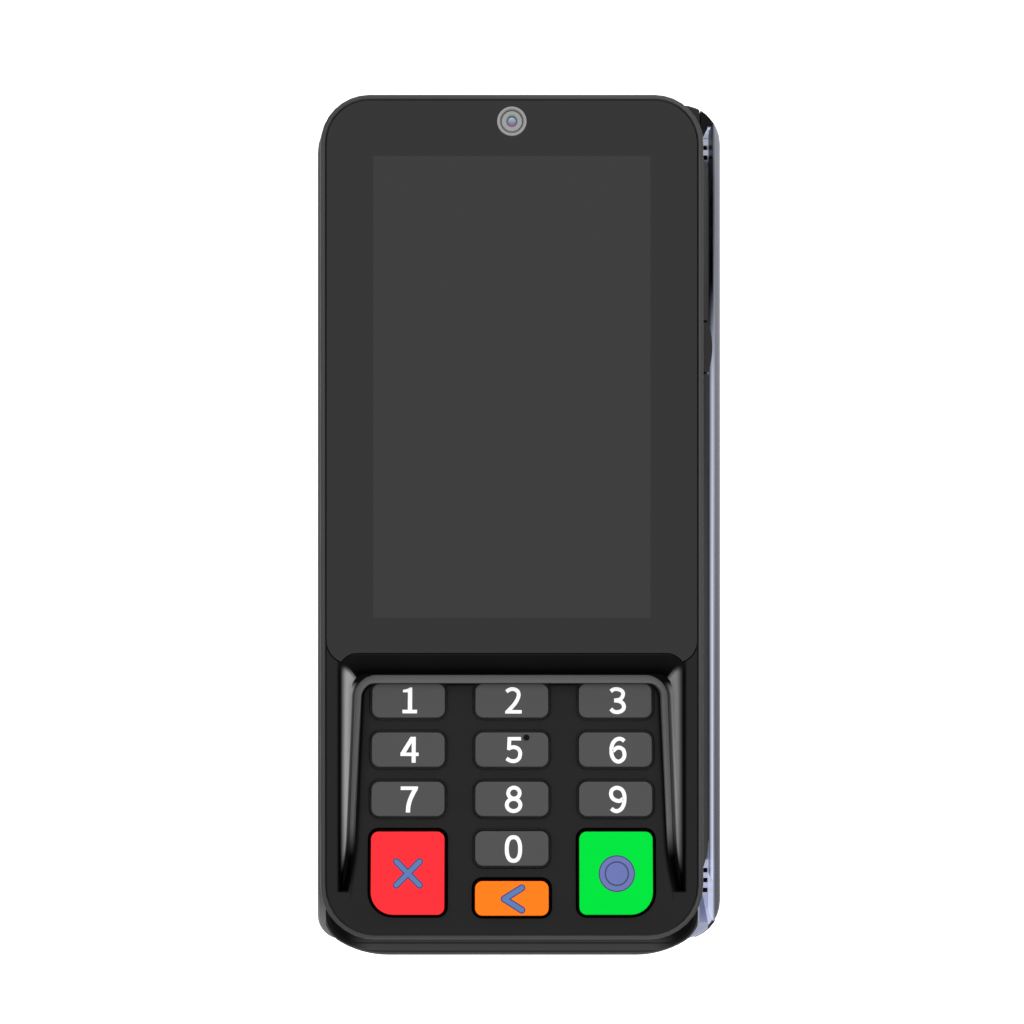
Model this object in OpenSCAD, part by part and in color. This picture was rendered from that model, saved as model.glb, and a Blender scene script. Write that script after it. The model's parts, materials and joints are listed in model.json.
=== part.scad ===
// A hand-held card payment terminal, lying on its back with the screen up.
// X runs across it, Y runs along it towards the camera end, and Z points out of the screen.
// Sizes are in millimetres. Each piece is drawn about the middle of the slab, with Z = 0 on the
// table, and home() then brings the middle of the whole box over the origin.

/* [Slab] */
// Width of the dark front frame
slab_w = 71.8; // [71:0.2:76]
// Length of the dark front frame
slab_l = 158.4; // [157:0.2:164]
// Height of the screen face above the table
face_z = 22; // [21.6:0.1:24]
// Height of the joint between the rear housing and the front frame
split_z = 13.5; // [13.2:0.1:14]
// Corner radius at the camera end
corner_top_r = 9.2; // [8:0.1:10]
// Corner radius at the keypad end
corner_low_r = 10.3; // [9:0.1:11]
// Width of the raised rim round the face
rim_w = 0.9; // [0.8:0.05:1.2]
// Rounding of the rim's outer edge
rim_round = 0.7; // [0.4:0.05:0.75]
// Wall of the front frame
frame_wall = 1.6; // [1.4:0.1:1.8]
// Gap round the glass and the keypad panel
seam = 0.35; // [0.2:0.05:0.5]
// How far the glass and the panel lie below the rim's top
face_drop = 0.1; // [0:0.05:0.2]
// Thickness of the ledge that carries the glass
ledge_t = 1.0; // [0.8:0.1:1.2]

/* [Rear housing] */
// Height of the rubber feet
foot_h = 0.8; // [0.5:0.1:1]
// Thickness of the back wall
back_t = 1.8; // [1.6:0.1:2]
// Thickness of the side walls
rear_wall = 1.8; // [1.6:0.1:2]
// Step from the slab's side out to the left shoulder
shoulder = 1.3; // [1:0.1:1.8]
// How far the upper end stays behind the slab's end
rear_top_step = 0.3; // [0.1:0.1:0.6]
// How far the lower end stands past the slab's end
rear_low_step = 1.6; // [1.2:0.1:2]
// Corner radius beside the rail
rail_corner_r = 7.5; // [6:0.1:8]
// Corner radius at the lower left
rear_low_r = 4.6; // [4:0.1:7]
// Rounding of the back's edges
back_round = 3.6; // [2:0.1:4]
// Rounding of the upper edge
shoulder_round = 0.45; // [0.2:0.05:0.5]

/* [Swipe slot] */
// Thickness of the guide on the slab's side of the slot
guide_t = 1.6; // [1.4:0.1:2]
// Width of the slot
slot_w = 1.1; // [1:0.05:1.5]
// Thickness of the rail outside the slot
rail_t = 1.3; // [1.1:0.1:2]
// Width of the slope along the rail's inner edge
rail_lead = 0.25; // [0.1:0.05:0.3]
// Height of that slope
rail_lead_h = 1.4; // [1:0.1:2]
// Thickness of the floor under the slot
slot_floor_t = 2.1; // [1.8:0.1:2.4]
// Height of the guide above the joint
guide_rise = 2.7; // [2.2:0.1:3.2]
// Distance of the guide's upper end from the slab's upper end
guide_from_top = 10.6; // [9:0.1:14]
// Distance of the guide's lower end from the slab's lower end
guide_from_low = 12.4; // [11:0.1:16]
// Distance of the slot's mouths from the slab's ends
mouth_from_end = 4.9; // [4.7:0.1:5.2]
// Thickness of the wear strip on the rail
liner_t = 0.3; // [0.2:0.05:0.35]
// Distance of the wear strip's ends from the slab's ends
liner_from_end = 9.2; // [8.5:0.1:20]
// Length of one grit pocket in the slot's floor
pocket_l = 0.9; // [0.6:0.1:1.1]
// Spacing of the grit pockets
pocket_pitch = 1.95; // [1.6:0.05:2.4]

/* [Magnetic head] */
// Middle of the head along the slab
head_y = 32.3; // [28:0.1:36]
// Length of the head along the slot
head_l = 9.4; // [8:0.1:10]
// Height of the head
head_h = 8.8; // [7:0.1:9]
// Middle of the head above the slot's floor
head_rise = 8.8; // [8:0.1:9.2]
// Radius of the head's rounded face
head_face_r = 14.8; // [12:0.2:20]
// Gap left between the head and the rail
head_gap = 0.5; // [0.3:0.05:0.7]
// Travel of the head
head_travel = 0.5; // [0.3:0.05:0.55]

/* [Display] */
// Thickness of the cover glass
glass_t = 1.2; // [1:0.1:1.3]
// Width of the display's visible area
view_w = 51.84; // [50:0.02:54]
// Distance of the visible area from the slab's upper end
view_from_top = 11.6; // [11:0.1:13]
// Distance of the visible area from the bay's upper edge
view_from_bay = 6.6; // [6:0.1:8]
// Border of the display module beside the visible area
module_side = 2.1; // [1.5:0.1:2.4]
// Border of the display module below the visible area
module_low = 3; // [2:0.1:3.2]
// Thickness of the display module
module_t = 2.6; // [2:0.1:2.8]
// Radius of the glass's lower corners
glass_low_r = 4.2; // [3:0.1:6]
// How far the glass's lower corners reach past the bay's upper edge
glass_wrap = 1.9; // [1:0.1:2.4]

/* [Camera] */
// Distance of the camera from the slab's upper end
camera_from_top = 5.1; // [4.8:0.1:5.6]
// Outer radius of the camera ring
camera_r = 2.75; // [2.2:0.05:3]
// Radius of the lens
lens_r = 0.8; // [0.6:0.05:1]

/* [Keypad] */
// Tilt of the keypad floor
key_tilt = 5.7; // [5:0.1:6.2]
// Distance from the slab's lower end to where the floor meets the face
floor_from_low = 7; // [6.8:0.1:7.6]
// Spacing of the key columns
key_pitch_x = 19.5; // [19:0.05:20]
// Spacing of the key rows along the floor
key_pitch_y = 9.2; // [9:0.05:9.5]
// Middle of the lowest row along the floor
key_first = 0.94; // [0.6:0.02:1.4]
// Width of a number key
key_w = 13.75; // [12:0.05:14.5]
// Height of a number key
key_h = 6.5; // [5.8:0.05:6.6]
// Width of the three command keys
command_w = 14; // [12:0.05:14.5]
// Height of the back key
back_key_h = 6.6; // [6:0.05:7]
// Height of the two tall command keys
tall_key_h = 15.6; // [15:0.1:16.4]
// Middle of the tall command keys along the floor
tall_key_v = 5.6; // [5.2:0.1:5.8]
// Corner radius of the keys
key_r = 1.5; // [1:0.1:2]
// Radius of the tall keys' outer lower corner
tall_key_r = 4.3; // [3:0.1:6]
// How far the keys stand above the floor
key_rise = 0.75; // [0.5:0.05:0.9]
// Rounding of the keys' upper edge
key_edge = 0.25; // [0.1:0.05:0.4]
// Gap round each key
key_gap = 0.55; // [0.4:0.05:0.6]
// Travel of a key
key_travel = 0.7; // [0.4:0.05:0.7]
// Thickness of the keypad floor
floor_t = 1.2; // [1:0.05:1.2]

/* [Bay round the keypad] */
// Margin between the slab's side and the bay
bay_margin = 3.3; // [3:0.1:3.8]
// Distance from the slab's lower end to the bay's lower end
bay_from_low = 9.2; // [8.6:0.1:10]
// Length of the bay
bay_l = 44.6; // [44.4:0.1:45.2]
// Corner radius of the bay
bay_r = 3.7; // [3:0.1:5]
// Sideways run of the side walls per millimetre of depth
bay_side_run = 0.6; // [0.4:0.02:0.7]
// Run of the upper wall per millimetre of depth
bay_top_run = 1.05; // [0.8:0.02:1.1]
// Slope of the lip and the valley, as a rise per millimetre
lip_slope = 0.065; // [0.06:0.001:0.068]
// Depth of the valley below the lip's crest
valley_d = 1.4; // [1.2:0.05:1.6]
// Width of the lip's outer slope
lip_w = 1.2; // [1:0.05:1.3]
// Width of the lip's flat crest
lip_flat = 0.2; // [0.1:0.05:0.3]
// Margin between the outer keys and the lip at the upper row
lip_side_gap = 1.85; // [1.6:0.05:2.4]
// Gap between the upper keys and the lip, seen from above
lip_key_gap = 0.14; // [0.05:0.01:0.3]
// How far the lip spreads along its straight sides
lip_spread = 1.05; // [0.6:0.05:1.2]
// How much further out its bent lower ends turn
lip_flare = 1.2; // [0.6:0.05:1.3]
// Length of the bent lower ends
lip_bend_l = 10; // [6:0.5:14]
// Thickness of the lip over the upper keys
lip_t = 0.6; // [0.5:0.05:0.7]

/* [Nose] */
// How far the nose stands past the slab's lower end
nose_reach = 3.4; // [3:0.1:4.4]
// Half width of the nose's straight end
nose_flat = 23.3; // [22:0.1:25]
// Radius beside the straight end
nose_r = 18; // [16:0.5:20]
// Half width of the nose's curved outline
nose_half_w = 35.6; // [35:0.1:36]
// Radius of the nose's outer corners
nose_corner_r = 6.5; // [5:0.1:7]
// Depth of the nose's ledge below the face
nose_drop = 1.2; // [1:0.1:1.8]
// Rounding of the nose's edges
nose_round = 2.2; // [1.5:0.1:2.6]

/* [Chip card] */
// Height of the card above the table
card_z = 9.8; // [9.4:0.1:10]
// Width of the card mouth
card_mouth_w = 55.2; // [54.8:0.1:56]
// Height of the card mouth
card_mouth_h = 1.8; // [1.4:0.1:2]
// Depth of the card's path inside the reader
card_depth = 44; // [40:1:46]
// Thickness of the reader
reader_h = 4.4; // [4:0.1:4.6]

/* [Battery] */
// Width of the battery
battery_w = 50; // [44:1:51]
// Length of the battery
battery_l = 60; // [54:1:60]
// Thickness of the battery
battery_t = 6.2; // [5:0.1:6.3]
// Middle of the battery along the slab
battery_y = 9; // [6:0.5:11]
// Gap beside the battery
battery_gap = 0.5; // [0.3:0.1:0.7]
// Gap at the battery's ends, where the door's hooks swing
battery_end_gap = 1.5; // [1.4:0.1:1.6]
// Wall of the battery tub
bay_wall = 2.5; // [2.3:0.1:2.6]
// How far the door reaches past the bay
door_lap = 1.4; // [1.2:0.1:1.5]
// Thickness of the door
door_t = 1.4; // [1.2:0.1:1.5]
// Gap round the door
door_gap = 0.3; // [0.2:0.05:0.4]

/* [Fasteners and side parts] */
// Radius of a screw's shank
screw_r = 1; // [0.8:0.05:1.2]
// Radius of a screw's head
screw_head_r = 1.9; // [1.7:0.1:2.1]
// Radius of a screw boss
boss_r = 2.6; // [2.5:0.1:2.8]
// Radius of a foot
foot_r = 4; // [3:0.1:4.5]
// Middle of the power button along the slab
button_y = 48; // [46:0.5:52]
// Length of the power button
button_l = 9; // [7:0.5:11]
// Height of the power button's cap
button_h = 3.2; // [2.6:0.1:3.6]
// Travel of the power button
button_travel = 0.4; // [0.2:0.05:0.5]
// Middle of the data port along the slab
port_y = 22; // [18:0.5:26]

/* [Hidden] */
fit = 0.3;                 // gap between a piece and what carries it
shaft_gap = 0.05;          // radial gap of a fit
eps = 0.01;
far = 400;
steps = 8;                 // straight pieces in a rounded corner
edge_steps = 4;            // straight pieces in a rounded edge

slab_x = slab_w / 2;
slab_y = slab_l / 2;
panel_z = face_z - face_drop;
seat_z = panel_z - glass_t - fit;
rim_in = rim_w + seam;
ledge_in = rim_w + 2.1;

back_z = foot_h;
inner_back_z = back_z + back_t;
rear_x = slab_x + shoulder;
guide_x = slab_x + guide_t;
rail_in = guide_x + slot_w;
rail_out = rail_in + rail_t;
rear_top = slab_y - rear_top_step;
rear_low = slab_y + rear_low_step;
slot_z = back_z + slot_floor_t;
guide_top = split_z + guide_rise;
nose_y = slab_y + nose_reach;
nose_z = face_z - nose_drop;
nose_low_z = back_z + back_t + 0.6;

guide_y0 = guide_from_low - slab_y;
guide_y1 = slab_y - guide_from_top;
mouth_y = slab_y - mouth_from_end;
mouth_shift = [[1.1, -2.2], [1, 1.8]];  // from the rail's outline out to the floor's
mouth_floor_t = 1.5;
pocket_d = 1.4;
mouth_ramp = 3.2;
mouth_rise = split_z + 0.1 - slot_z;
pocket_first = 2;
liner_half_l = slab_y - liner_from_end;
liner_top = split_z - rail_lead_h - 0.2;

home_x = (rear_x - rail_out) / 2;
home_y = (nose_y - slab_y) / 2;

bay_y0 = bay_from_low - slab_y;
bay_y1 = bay_y0 + bay_l;
bay_x = slab_x - bay_margin;
bay_cut_d = 7;
bay_lift = 0.2;
floor_y = floor_from_low - slab_y;
crest_tilt = atan(lip_slope);
upper_row = key_first + 4 * key_pitch_y;
field_v = upper_row + key_h / 2 + lip_key_gap;
field_y1 = floor_y + field_v * cos(key_tilt);
field_x = key_pitch_x + key_w / 2 + lip_side_gap;

flange_t = 0.6;
flange_w = key_gap + 0.6;
flange_z = -floor_t - fit - flange_t;
web_t = 0.5;
web_z = flange_z - key_travel - 0.1 - web_t;
dome_h = 0.35;
stem_z = flange_z - 1;
dome_z = stem_z - key_travel - 0.05 - dome_h;
key_board_t = 1;
board_x = key_pitch_x + key_w / 2 + 2.2;

bay_roof_z = inner_back_z + battery_t + 0.5;
roof_t = 1;
board_z = bay_roof_z + roof_t + 0.7;
board_t = 1;
board_half = 27;
board_y0 = bay_y1 + 4;
board_y1 = slab_y - 9;
battery_x = battery_w / 2 + battery_gap;
battery_half_l = battery_l / 2 + battery_end_gap;
door_x = battery_x + door_lap;
door_half_l = battery_half_l + door_lap;
door_r = 3;
hook_x = 15;
hook_w = 8;
hook_l = 1.5;
speaker_w = 19;
speaker_l = 12;
speaker_x = 12;
speaker_from_top = 22.2;
speaker_y = slab_y - speaker_from_top;
cell_x = -13;
cell_from_top = 21.2;
cell_y = slab_y - cell_from_top;
cell_r = 8;
mid_hole_pitch = 22;

view_y1 = slab_y - view_from_top;
view_y0 = bay_y1 + view_from_bay;
module_x = view_w / 2 + module_side;
module_y0 = view_y0 - module_low;
module_y1 = view_y1 + 1.2;
module_z = panel_z - glass_t - 0.4 - module_t;
mid_z = module_z - 0.7;
mid_t = 0.6;
camera_y = slab_y - camera_from_top;

head_z = slot_z + head_rise;
head_tip = rail_in - head_gap;
head_back = slab_x - rear_wall - 1.1;
spring_x = head_back - head_travel - 0.15;

reader_x = 28.4;
reader_y1 = fit + rear_wall - rear_low;
card_slot_h = 1;
tall_key_x = key_pitch_x;

screw_spots = [
    for (side = [-1, 1]) each [
        [side * (slab_x - 5.4), slab_y - 6.7],
        [side * (slab_x - 4.7), bay_y1 + 6],
        [side * (slab_x - 4.6), 5.7 - slab_y],
    ]
];
head_seat_z = back_z + 8.7;
screw_l = 8;
foot_spots = [for (x = [-1, 1], y = [-1, 1]) [x * (slab_x - 10), y * (slab_y - 18)]];

// posts between the keys that carry the keypad board, in the floor's frame
post_spots = [
    for (x = [-1, 1]) each [
        [x * key_pitch_x / 2, key_first + 1.5 * key_pitch_y + 0.2],
        [x * key_pitch_x / 2, key_first + 3.5 * key_pitch_y],
    ]
];

dark = "#3c3c3c";
face_dark = "#282828";
silver = "#b9bdd0";
key_grey = "#515151";
board_green = "#1f5a3a";
steel = "#a9acb3";

// key name, column, middle along the floor, width, height, side of the big corner, colour
KEYS = [
    ["key_1", -1, upper_row, key_w, key_h, 0, key_grey],
    ["key_2", 0, upper_row, key_w, key_h, 0, key_grey],
    ["key_3", 1, upper_row, key_w, key_h, 0, key_grey],
    ["key_4", -1, upper_row - key_pitch_y, key_w, key_h, 0, key_grey],
    ["key_5", 0, upper_row - key_pitch_y, key_w, key_h, 0, key_grey],
    ["key_6", 1, upper_row - key_pitch_y, key_w, key_h, 0, key_grey],
    ["key_7", -1, upper_row - 2 * key_pitch_y, key_w, key_h, 0, key_grey],
    ["key_8", 0, upper_row - 2 * key_pitch_y, key_w, key_h, 0, key_grey],
    ["key_9", 1, upper_row - 2 * key_pitch_y, key_w, key_h, 0, key_grey],
    ["key_0", 0, upper_row - 3 * key_pitch_y, key_w, key_h, 0, key_grey],
    ["key_back", 0, key_first, command_w, back_key_h, 0, "#ff8320"],
    ["key_cancel", -1, tall_key_v, command_w, tall_key_h, -1, "#ff353c"],
    ["key_ok", 1, tall_key_v, command_w, tall_key_h, 1, "#00eb41"],
];

// ---- outlines and solids shared by the pieces ----

function arc(c, r, a0, a1, n = steps) =
    [for (i = [0:n]) let (a = a0 + (a1 - a0) * i / n) c + r * [cos(a), sin(a)]];

// Box with one radius per corner: lower left, lower right, upper right, upper left
function rounded(x0, x1, y0, y1, r) = concat(
    arc([x0 + r[0], y0 + r[0]], r[0], 180, 270),
    arc([x1 - r[1], y0 + r[1]], r[1], 270, 360),
    arc([x1 - r[2], y1 - r[2]], r[2], 0, 90),
    arc([x0 + r[3], y1 - r[3]], r[3], 90, 180)
);

function centred(w, l, r) = rounded(-w / 2, w / 2, -l / 2, l / 2, [r, r, r, r]);

function slab_outline(inset) = rounded(
    inset - slab_x, slab_x - inset, inset - slab_y, slab_y - inset,
    [corner_low_r - inset, corner_low_r - inset, corner_top_r - inset, corner_top_r - inset]
);

function rear_outline(inset) = rounded(
    inset - rear_x, rail_out - inset, inset - rear_low, rear_top - inset,
    [rear_low_r - inset, rail_corner_r - inset, rail_corner_r - inset, corner_top_r - inset]
);

// Nose: a wide arc and a tighter one on each side, closed behind by a straight line
function nose_outline(inset) =
    let (
        run = nose_r - nose_corner_r,
        turn = asin((nose_half_w - nose_corner_r - nose_flat) / run),
        inner_c = [nose_flat, nose_r - nose_y],
        outer_c = inner_c + run * [sin(turn), -cos(turn)],
        right = concat(
            arc(inner_c, nose_r - inset, 270, 270 + turn),
            arc(outer_c, nose_corner_r - inset, 270 + turn, 360),
            [[nose_half_w - inset, 14 - slab_y]]
        )
    )
    concat([for (i = [len(right) - 1:-1:0]) [-right[i][0], right[i][1]]], right);

// [height, inset] pairs of a rounded lower edge and a rounded upper edge
function low_edge(z, r) =
    [for (i = [0:edge_steps]) let (a = 90 * i / edge_steps) [z + r * (1 - cos(a)), r * (1 - sin(a))]];
function top_edge(z, r) =
    [for (i = [edge_steps:-1:0]) let (a = 90 * i / edge_steps) [z - r * (1 - cos(a)), r * (1 - sin(a))]];

function at_height(points, z) = [for (p = points) [p[0], p[1], z]];

// Solid through rings of points that run anticlockwise seen from above, lowest ring first
module loft(rings) {
    n = len(rings[0]);
    last = len(rings) - 1;
    polyhedron(
        points = [for (ring = rings) each ring],
        faces = concat(
            [[for (i = [0:n - 1]) i]],
            [for (k = [0:last - 1], i = [0:n - 1]) let (a = k * n, j = (i + 1) % n)
                each [[a + i, a + n + i, a + n + j], [a + i, a + n + j, a + j]]],
            [[for (i = [n - 1:-1:0]) last * n + i]]
        )
    );
}

module prism(points, z0, z1) translate([0, 0, z0]) linear_extrude(z1 - z0) polygon(points);

module block(x0, x1, y0, y1, z0, z1) translate([x0, y0, z0]) cube([x1 - x0, y1 - y0, z1 - z0]);

// Bar along X or Y with a profile given as [along the other axis, height]
module bar_x(x0, x1, profile)
    translate([x0, 0, 0]) rotate([90, 0, 90]) linear_extrude(x1 - x0) polygon(profile);
module bar_y(y0, y1, profile)
    translate([0, y1, 0]) rotate([90, 0, 0]) linear_extrude(y1 - y0) polygon(profile);

module home() translate([home_x, home_y, 0]) children();

// Frame of the tilted keypad floor: Z = 0 is the floor, Y runs up it from where it meets the face
module on_floor() translate([0, floor_y, panel_z]) rotate([-key_tilt, 0, 0]) children();

// Frame of the lip's crest: Z = 0 is the crest, Y runs up it from the bay's lower end
module on_crest() translate([0, bay_y0, panel_z]) rotate([-crest_tilt, 0, 0]) children();

module above_floor(z) on_floor() translate([-far / 2, -far / 2, z]) cube(far);
module above_crest(z) on_crest() translate([-far / 2, -far / 2, z]) cube(far);
module below_crest(z) on_crest() translate([-far / 2, -far / 2, z - far]) cube(far);

// ---- housing ----

// Whole back of the terminal: the rear housing and the swipe rail
module rear_blank() loft([
    for (s = concat(low_edge(back_z, back_round), top_edge(split_z, shoulder_round)))
        at_height(rear_outline(s[1]), s[0])
]);

// Rail outside the swipe slot, on a floor with grit pockets; the slot is open at both ends
module swipe_rail() color(silver) home() difference() {
    union() {
        difference() {
            rear_blank();
            block(slab_x - 1, rail_in, -far / 2, far / 2, slot_z, far);
        }
        // shoulder with a ramp beside the lower mouth
        intersection() {
            rear_blank();
            bar_x(slab_x - 1, guide_x, [
                [-far / 2, slot_z - 1], [mouth_ramp / mouth_rise - mouth_y, slot_z - 1],
                [-mouth_ramp - mouth_y, split_z + 0.1], [-far / 2, split_z + 0.1],
            ]);
        }
        // floor that stands past the rail at both mouths
        for (i = [0, 1]) intersection() {
            translate(mouth_shift[i]) prism(rear_outline(0), slot_z - mouth_floor_t, split_z);
            block(slab_x - 1, rail_out, i == 0 ? -nose_y : mouth_y, i == 0 ? -mouth_y : slab_y, 0, slot_z);
        }
    }
    block(-far, slab_x, -far / 2, far / 2, -1, far);
    bar_y(-far / 2, far / 2, [
        [rail_in - 0.1, split_z - rail_lead_h * (1 + 0.1 / rail_lead)],
        [rail_in + 1.1 * rail_lead, split_z + 0.1 * rail_lead_h], [rail_in - 0.1, split_z + 1],
    ]);
    block(rail_in - eps, rail_in + liner_t, -liner_half_l, liner_half_l, slot_z + 0.4, liner_top + 0.1);
    for (i = [0:2]) grit_pocket(guide_y0 - pocket_first - 0.6 - i * pocket_pitch);
    for (i = [0:1]) grit_pocket(guide_y1 + pocket_first + i * pocket_pitch);
}

module rear_housing() color(silver) home() {
    difference() {
        rear_blank();
        block(slab_x, far, -far / 2, far / 2, -1, far);
        prism(rear_cavity(), inner_back_z, split_z + 1);
        translate([0, battery_y, 0]) prism(door_outline(door_gap), 0, inner_back_z + 1);
        finger_scoop();
        // notch for the chip card and the nose's tongue
        block(-card_mouth_w / 2 - fit, card_mouth_w / 2 + fit, -rear_low - 1, rear_wall - rear_low + 1,
            card_z - card_mouth_h / 2, split_z + 1);
        // window of the magnetic head
        head_window(slab_x - rear_wall - 1, slab_x + 1);
        // left side: data port and power button
        block(-rear_x - 1, 2.2 - rear_x, port_y - 5, port_y + 5, board_z - 3.7, board_z);
        block(-rear_x - 1, 1 + rear_wall - rear_x,
            button_y - button_l / 2 - 0.2, button_y + button_l / 2 + 0.2,
            button_z() - button_h / 2 - 0.2, button_z() + button_h / 2 + 0.2);
        screw_bores();
        speaker_grille();
    }
    reader_ribs();
    difference() {
        for (p = screw_spots) translate([p[0], p[1], inner_back_z - eps])
            cylinder(r = boss_r, h = split_z - inner_back_z + eps, $fn = 48);
        screw_bores();
    }
    head_posts();
}

function rear_cavity() = rounded(
    rear_wall - rear_x, slab_x - rear_wall, rear_wall - rear_low, rear_top - rear_wall,
    [rear_low_r - rear_wall, 3, 3, corner_top_r - rear_wall]
);

function door_outline(gap) = centred(2 * (door_x + gap), 2 * (door_half_l + gap), door_r + gap);

function button_z() = board_z - 2.2;

module grit_pocket(y)
    block(slab_x + 0.3, rail_in - 0.1, y - pocket_l / 2, y + pocket_l / 2, slot_z - pocket_d, slot_z + 1);

module finger_scoop()
    translate([0, battery_y - door_half_l - 1, back_z - 7.5])
        rotate([0, 90, 0]) cylinder(r = 8.2, h = 14, center = true, $fn = 96);

module head_window(x0, x1)
    block(x0, x1, head_y - head_l / 2 - 0.4, head_y + head_l / 2 + 0.4,
        head_z - head_h / 2 - fit, head_z + head_h / 2 + fit);

module screw_bores() for (p = screw_spots) translate([p[0], p[1], 0]) {
    cylinder(r = screw_r + 0.15, h = far / 4, $fn = 48);
    cylinder(r = screw_head_r + 0.15, h = head_seat_z, $fn = 48);
}

// Rows of round holes over the speaker
module speaker_grille()
    for (i = [-3:3], j = [-1:1])
        translate([speaker_x + i * 2.4, speaker_y + j * 2.4, 0])
            cylinder(r = 0.6, h = inner_back_z + 1, $fn = 24);

// Tub that holds the battery, open to the back, with windows for the door's hooks
module battery_tub() color("#2b2b2d") home() translate([0, battery_y, 0]) {
    wall_x = battery_x + bay_wall;
    wall_y = battery_half_l + bay_wall;
    difference() {
        block(-wall_x, wall_x, -wall_y, wall_y, inner_back_z, bay_roof_z + roof_t);
        block(-battery_x, battery_x, -battery_half_l, battery_half_l, 0, bay_roof_z);
        for (x = [-hook_x, hook_x])
            block(x - hook_w / 2 - 0.5, x + hook_w / 2 + 0.5, battery_half_l - 1, wall_y + 1,
                0, inner_back_z + 2.7);
    }
    // ribs that carry the main board
    for (x = [-18, 18]) block(x - 1, x + 1, -wall_y, wall_y, bay_roof_z + roof_t - eps, board_z);
}

module reader_ribs()
    for (x = [-20, 0, 20])
        block(x - 0.8, x + 0.8, reader_y1 + 3, reader_y1 + card_depth,
            inner_back_z - eps, card_z - reader_h / 2);

// Posts at the ends of the head's spring
module head_posts()
    for (side = [-1, 1])
        block(spring_x, slab_x - rear_wall + eps, head_y + side * 9 - 1.2, head_y + side * 9 + 1.2,
            inner_back_z - eps, split_z - 0.5);

module front_frame() color(dark) home() {
    difference() {
        loft([
            for (s = concat([[split_z, 0]], top_edge(face_z, rim_round)))
                at_height(slab_outline(s[1]), s[0])
        ]);
        prism(slab_outline(rim_w), seat_z, face_z + 1);
        prism(slab_outline(frame_wall), split_z - 1, seat_z - ledge_t);
        prism(slab_outline(ledge_in), split_z, face_z);
        head_window(slab_x - frame_wall - 1, slab_x + 1);
        for (p = screw_spots) translate([p[0], p[1], split_z - 1])
            cylinder(r = screw_r + 0.15, h = seat_z - ledge_t - split_z, $fn = 48);
    }
    difference() {
        for (p = screw_spots) frame_boss(p);
        for (p = screw_spots) translate([p[0], p[1], split_z - 1])
            cylinder(r = screw_r + shaft_gap, h = screw_l, $fn = 48);
    }
}

// Boss under the ledge, joined to the side wall by a web
module frame_boss(p) {
    side = sign(p[0]);
    top = seat_z - ledge_t + eps;
    translate([p[0], p[1], split_z + fit]) cylinder(r = boss_r - 0.4, h = top - split_z - fit, $fn = 48);
    intersection() {
        translate([p[0] + side * 2, p[1], (split_z + fit + top) / 2])
            cube([6, 1.6, top - split_z - fit], center = true);
        prism(slab_outline(frame_wall / 2), split_z, face_z);
    }
}

module nose_bezel() color(dark) home() difference() {
    union() {
        difference() {
            loft([
                for (s = concat(low_edge(nose_low_z, nose_round), top_edge(nose_z, nose_round)))
                    at_height(nose_outline(s[1]), s[0])
            ]);
            prism(rear_outline(0), 0, split_z);
            prism(slab_outline(0), split_z - eps, far / 4);
            for (side = [-1, 1])
                translate([side * (nose_half_w - 0.6 + far / 2), 0, 0]) cube(far, center = true);
        }
        // tongue in the housing's notch
        block(-card_mouth_w / 2, card_mouth_w / 2, -rear_low - eps, rear_wall - rear_low,
            card_z - card_mouth_h / 2, split_z - 0.05);
    }
    // card mouth, flared at its outer edge
    bar_x(-card_mouth_w / 2, card_mouth_w / 2, [
        [-nose_y - 1, card_z - card_mouth_h / 2 - 1.6],
        [1.4 - nose_y, card_z - card_mouth_h / 2],
        [5 - slab_y, card_z - card_mouth_h / 2],
        [5 - slab_y, card_z + card_mouth_h / 2],
        [1.4 - nose_y, card_z + card_mouth_h / 2],
        [-nose_y - 1, card_z + card_mouth_h / 2 + 1.6],
    ]);
    // thumb relief over and under the card's middle
    translate([0, -nose_y - 22.8, card_z]) cylinder(r = 24, h = 7, center = true, $fn = 192);
}

// ---- display and camera ----

// Glass outline: rounded lower corners that the bay's upper edge cuts into
module glass_area(gap) difference() {
    polygon(rounded(rim_in - slab_x + gap, slab_x - rim_in - gap,
        bay_y1 - glass_wrap + gap, slab_y - rim_in - gap,
        [glass_low_r, glass_low_r, corner_top_r - rim_in - gap, corner_top_r - rim_in - gap]));
    polygon(bay_outline(gap, 0));
}

module display_glass() color("#383838") home() difference() {
    translate([0, 0, panel_z - glass_t]) linear_extrude(glass_t) glass_area(0);
    translate([0, camera_y, 0]) cylinder(r = camera_r + shaft_gap, h = far / 4, $fn = 64);
}

module display_module() color("#3f3f3f") home() difference() {
    prism(rounded(-module_x, module_x, module_y0, module_y1, [1, 1, 1, 1]), module_z, module_z + module_t);
    // step over the driver strip
    block(-module_x + 1, module_x - 1, module_y0 - 1, view_y0 - 1, module_z + module_t - 0.5, face_z);
}

module mid_frame() color(steel) home() difference() {
    union() {
        prism(mid_outline(0), mid_z, mid_z + mid_t);
        // turned-up edges that hold the display module
        for (x = [-module_x - 0.6, module_x + 0.6])
            block(x - 0.3, x + 0.3, bay_y1 + 12, slab_y - 16, mid_z, mid_z + mid_t + 1.2);
    }
    boss_clearance();
    head_clearance();
    for (x = [-16, 0, 16], i = [0:2])
        translate([x, i * mid_hole_pitch, 0]) cylinder(r = 3, h = far / 4, $fn = 48);
}

function mid_outline(inset) = rounded(
    frame_wall + fit - slab_x + inset, slab_x - frame_wall - fit - inset,
    bay_y1 + 2 + inset, slab_y - 8.8 - inset,
    [2, 2, 5, 5]
);

// Room for the frame's bosses and their webs
module boss_clearance() for (p = screw_spots) translate([p[0], p[1], 0]) {
    cylinder(r = boss_r + 0.2, h = far / 4, $fn = 48);
    translate([sign(p[0]) * 3, 0, 0]) cube([6, 2.4, far / 2], center = true);
}

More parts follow.
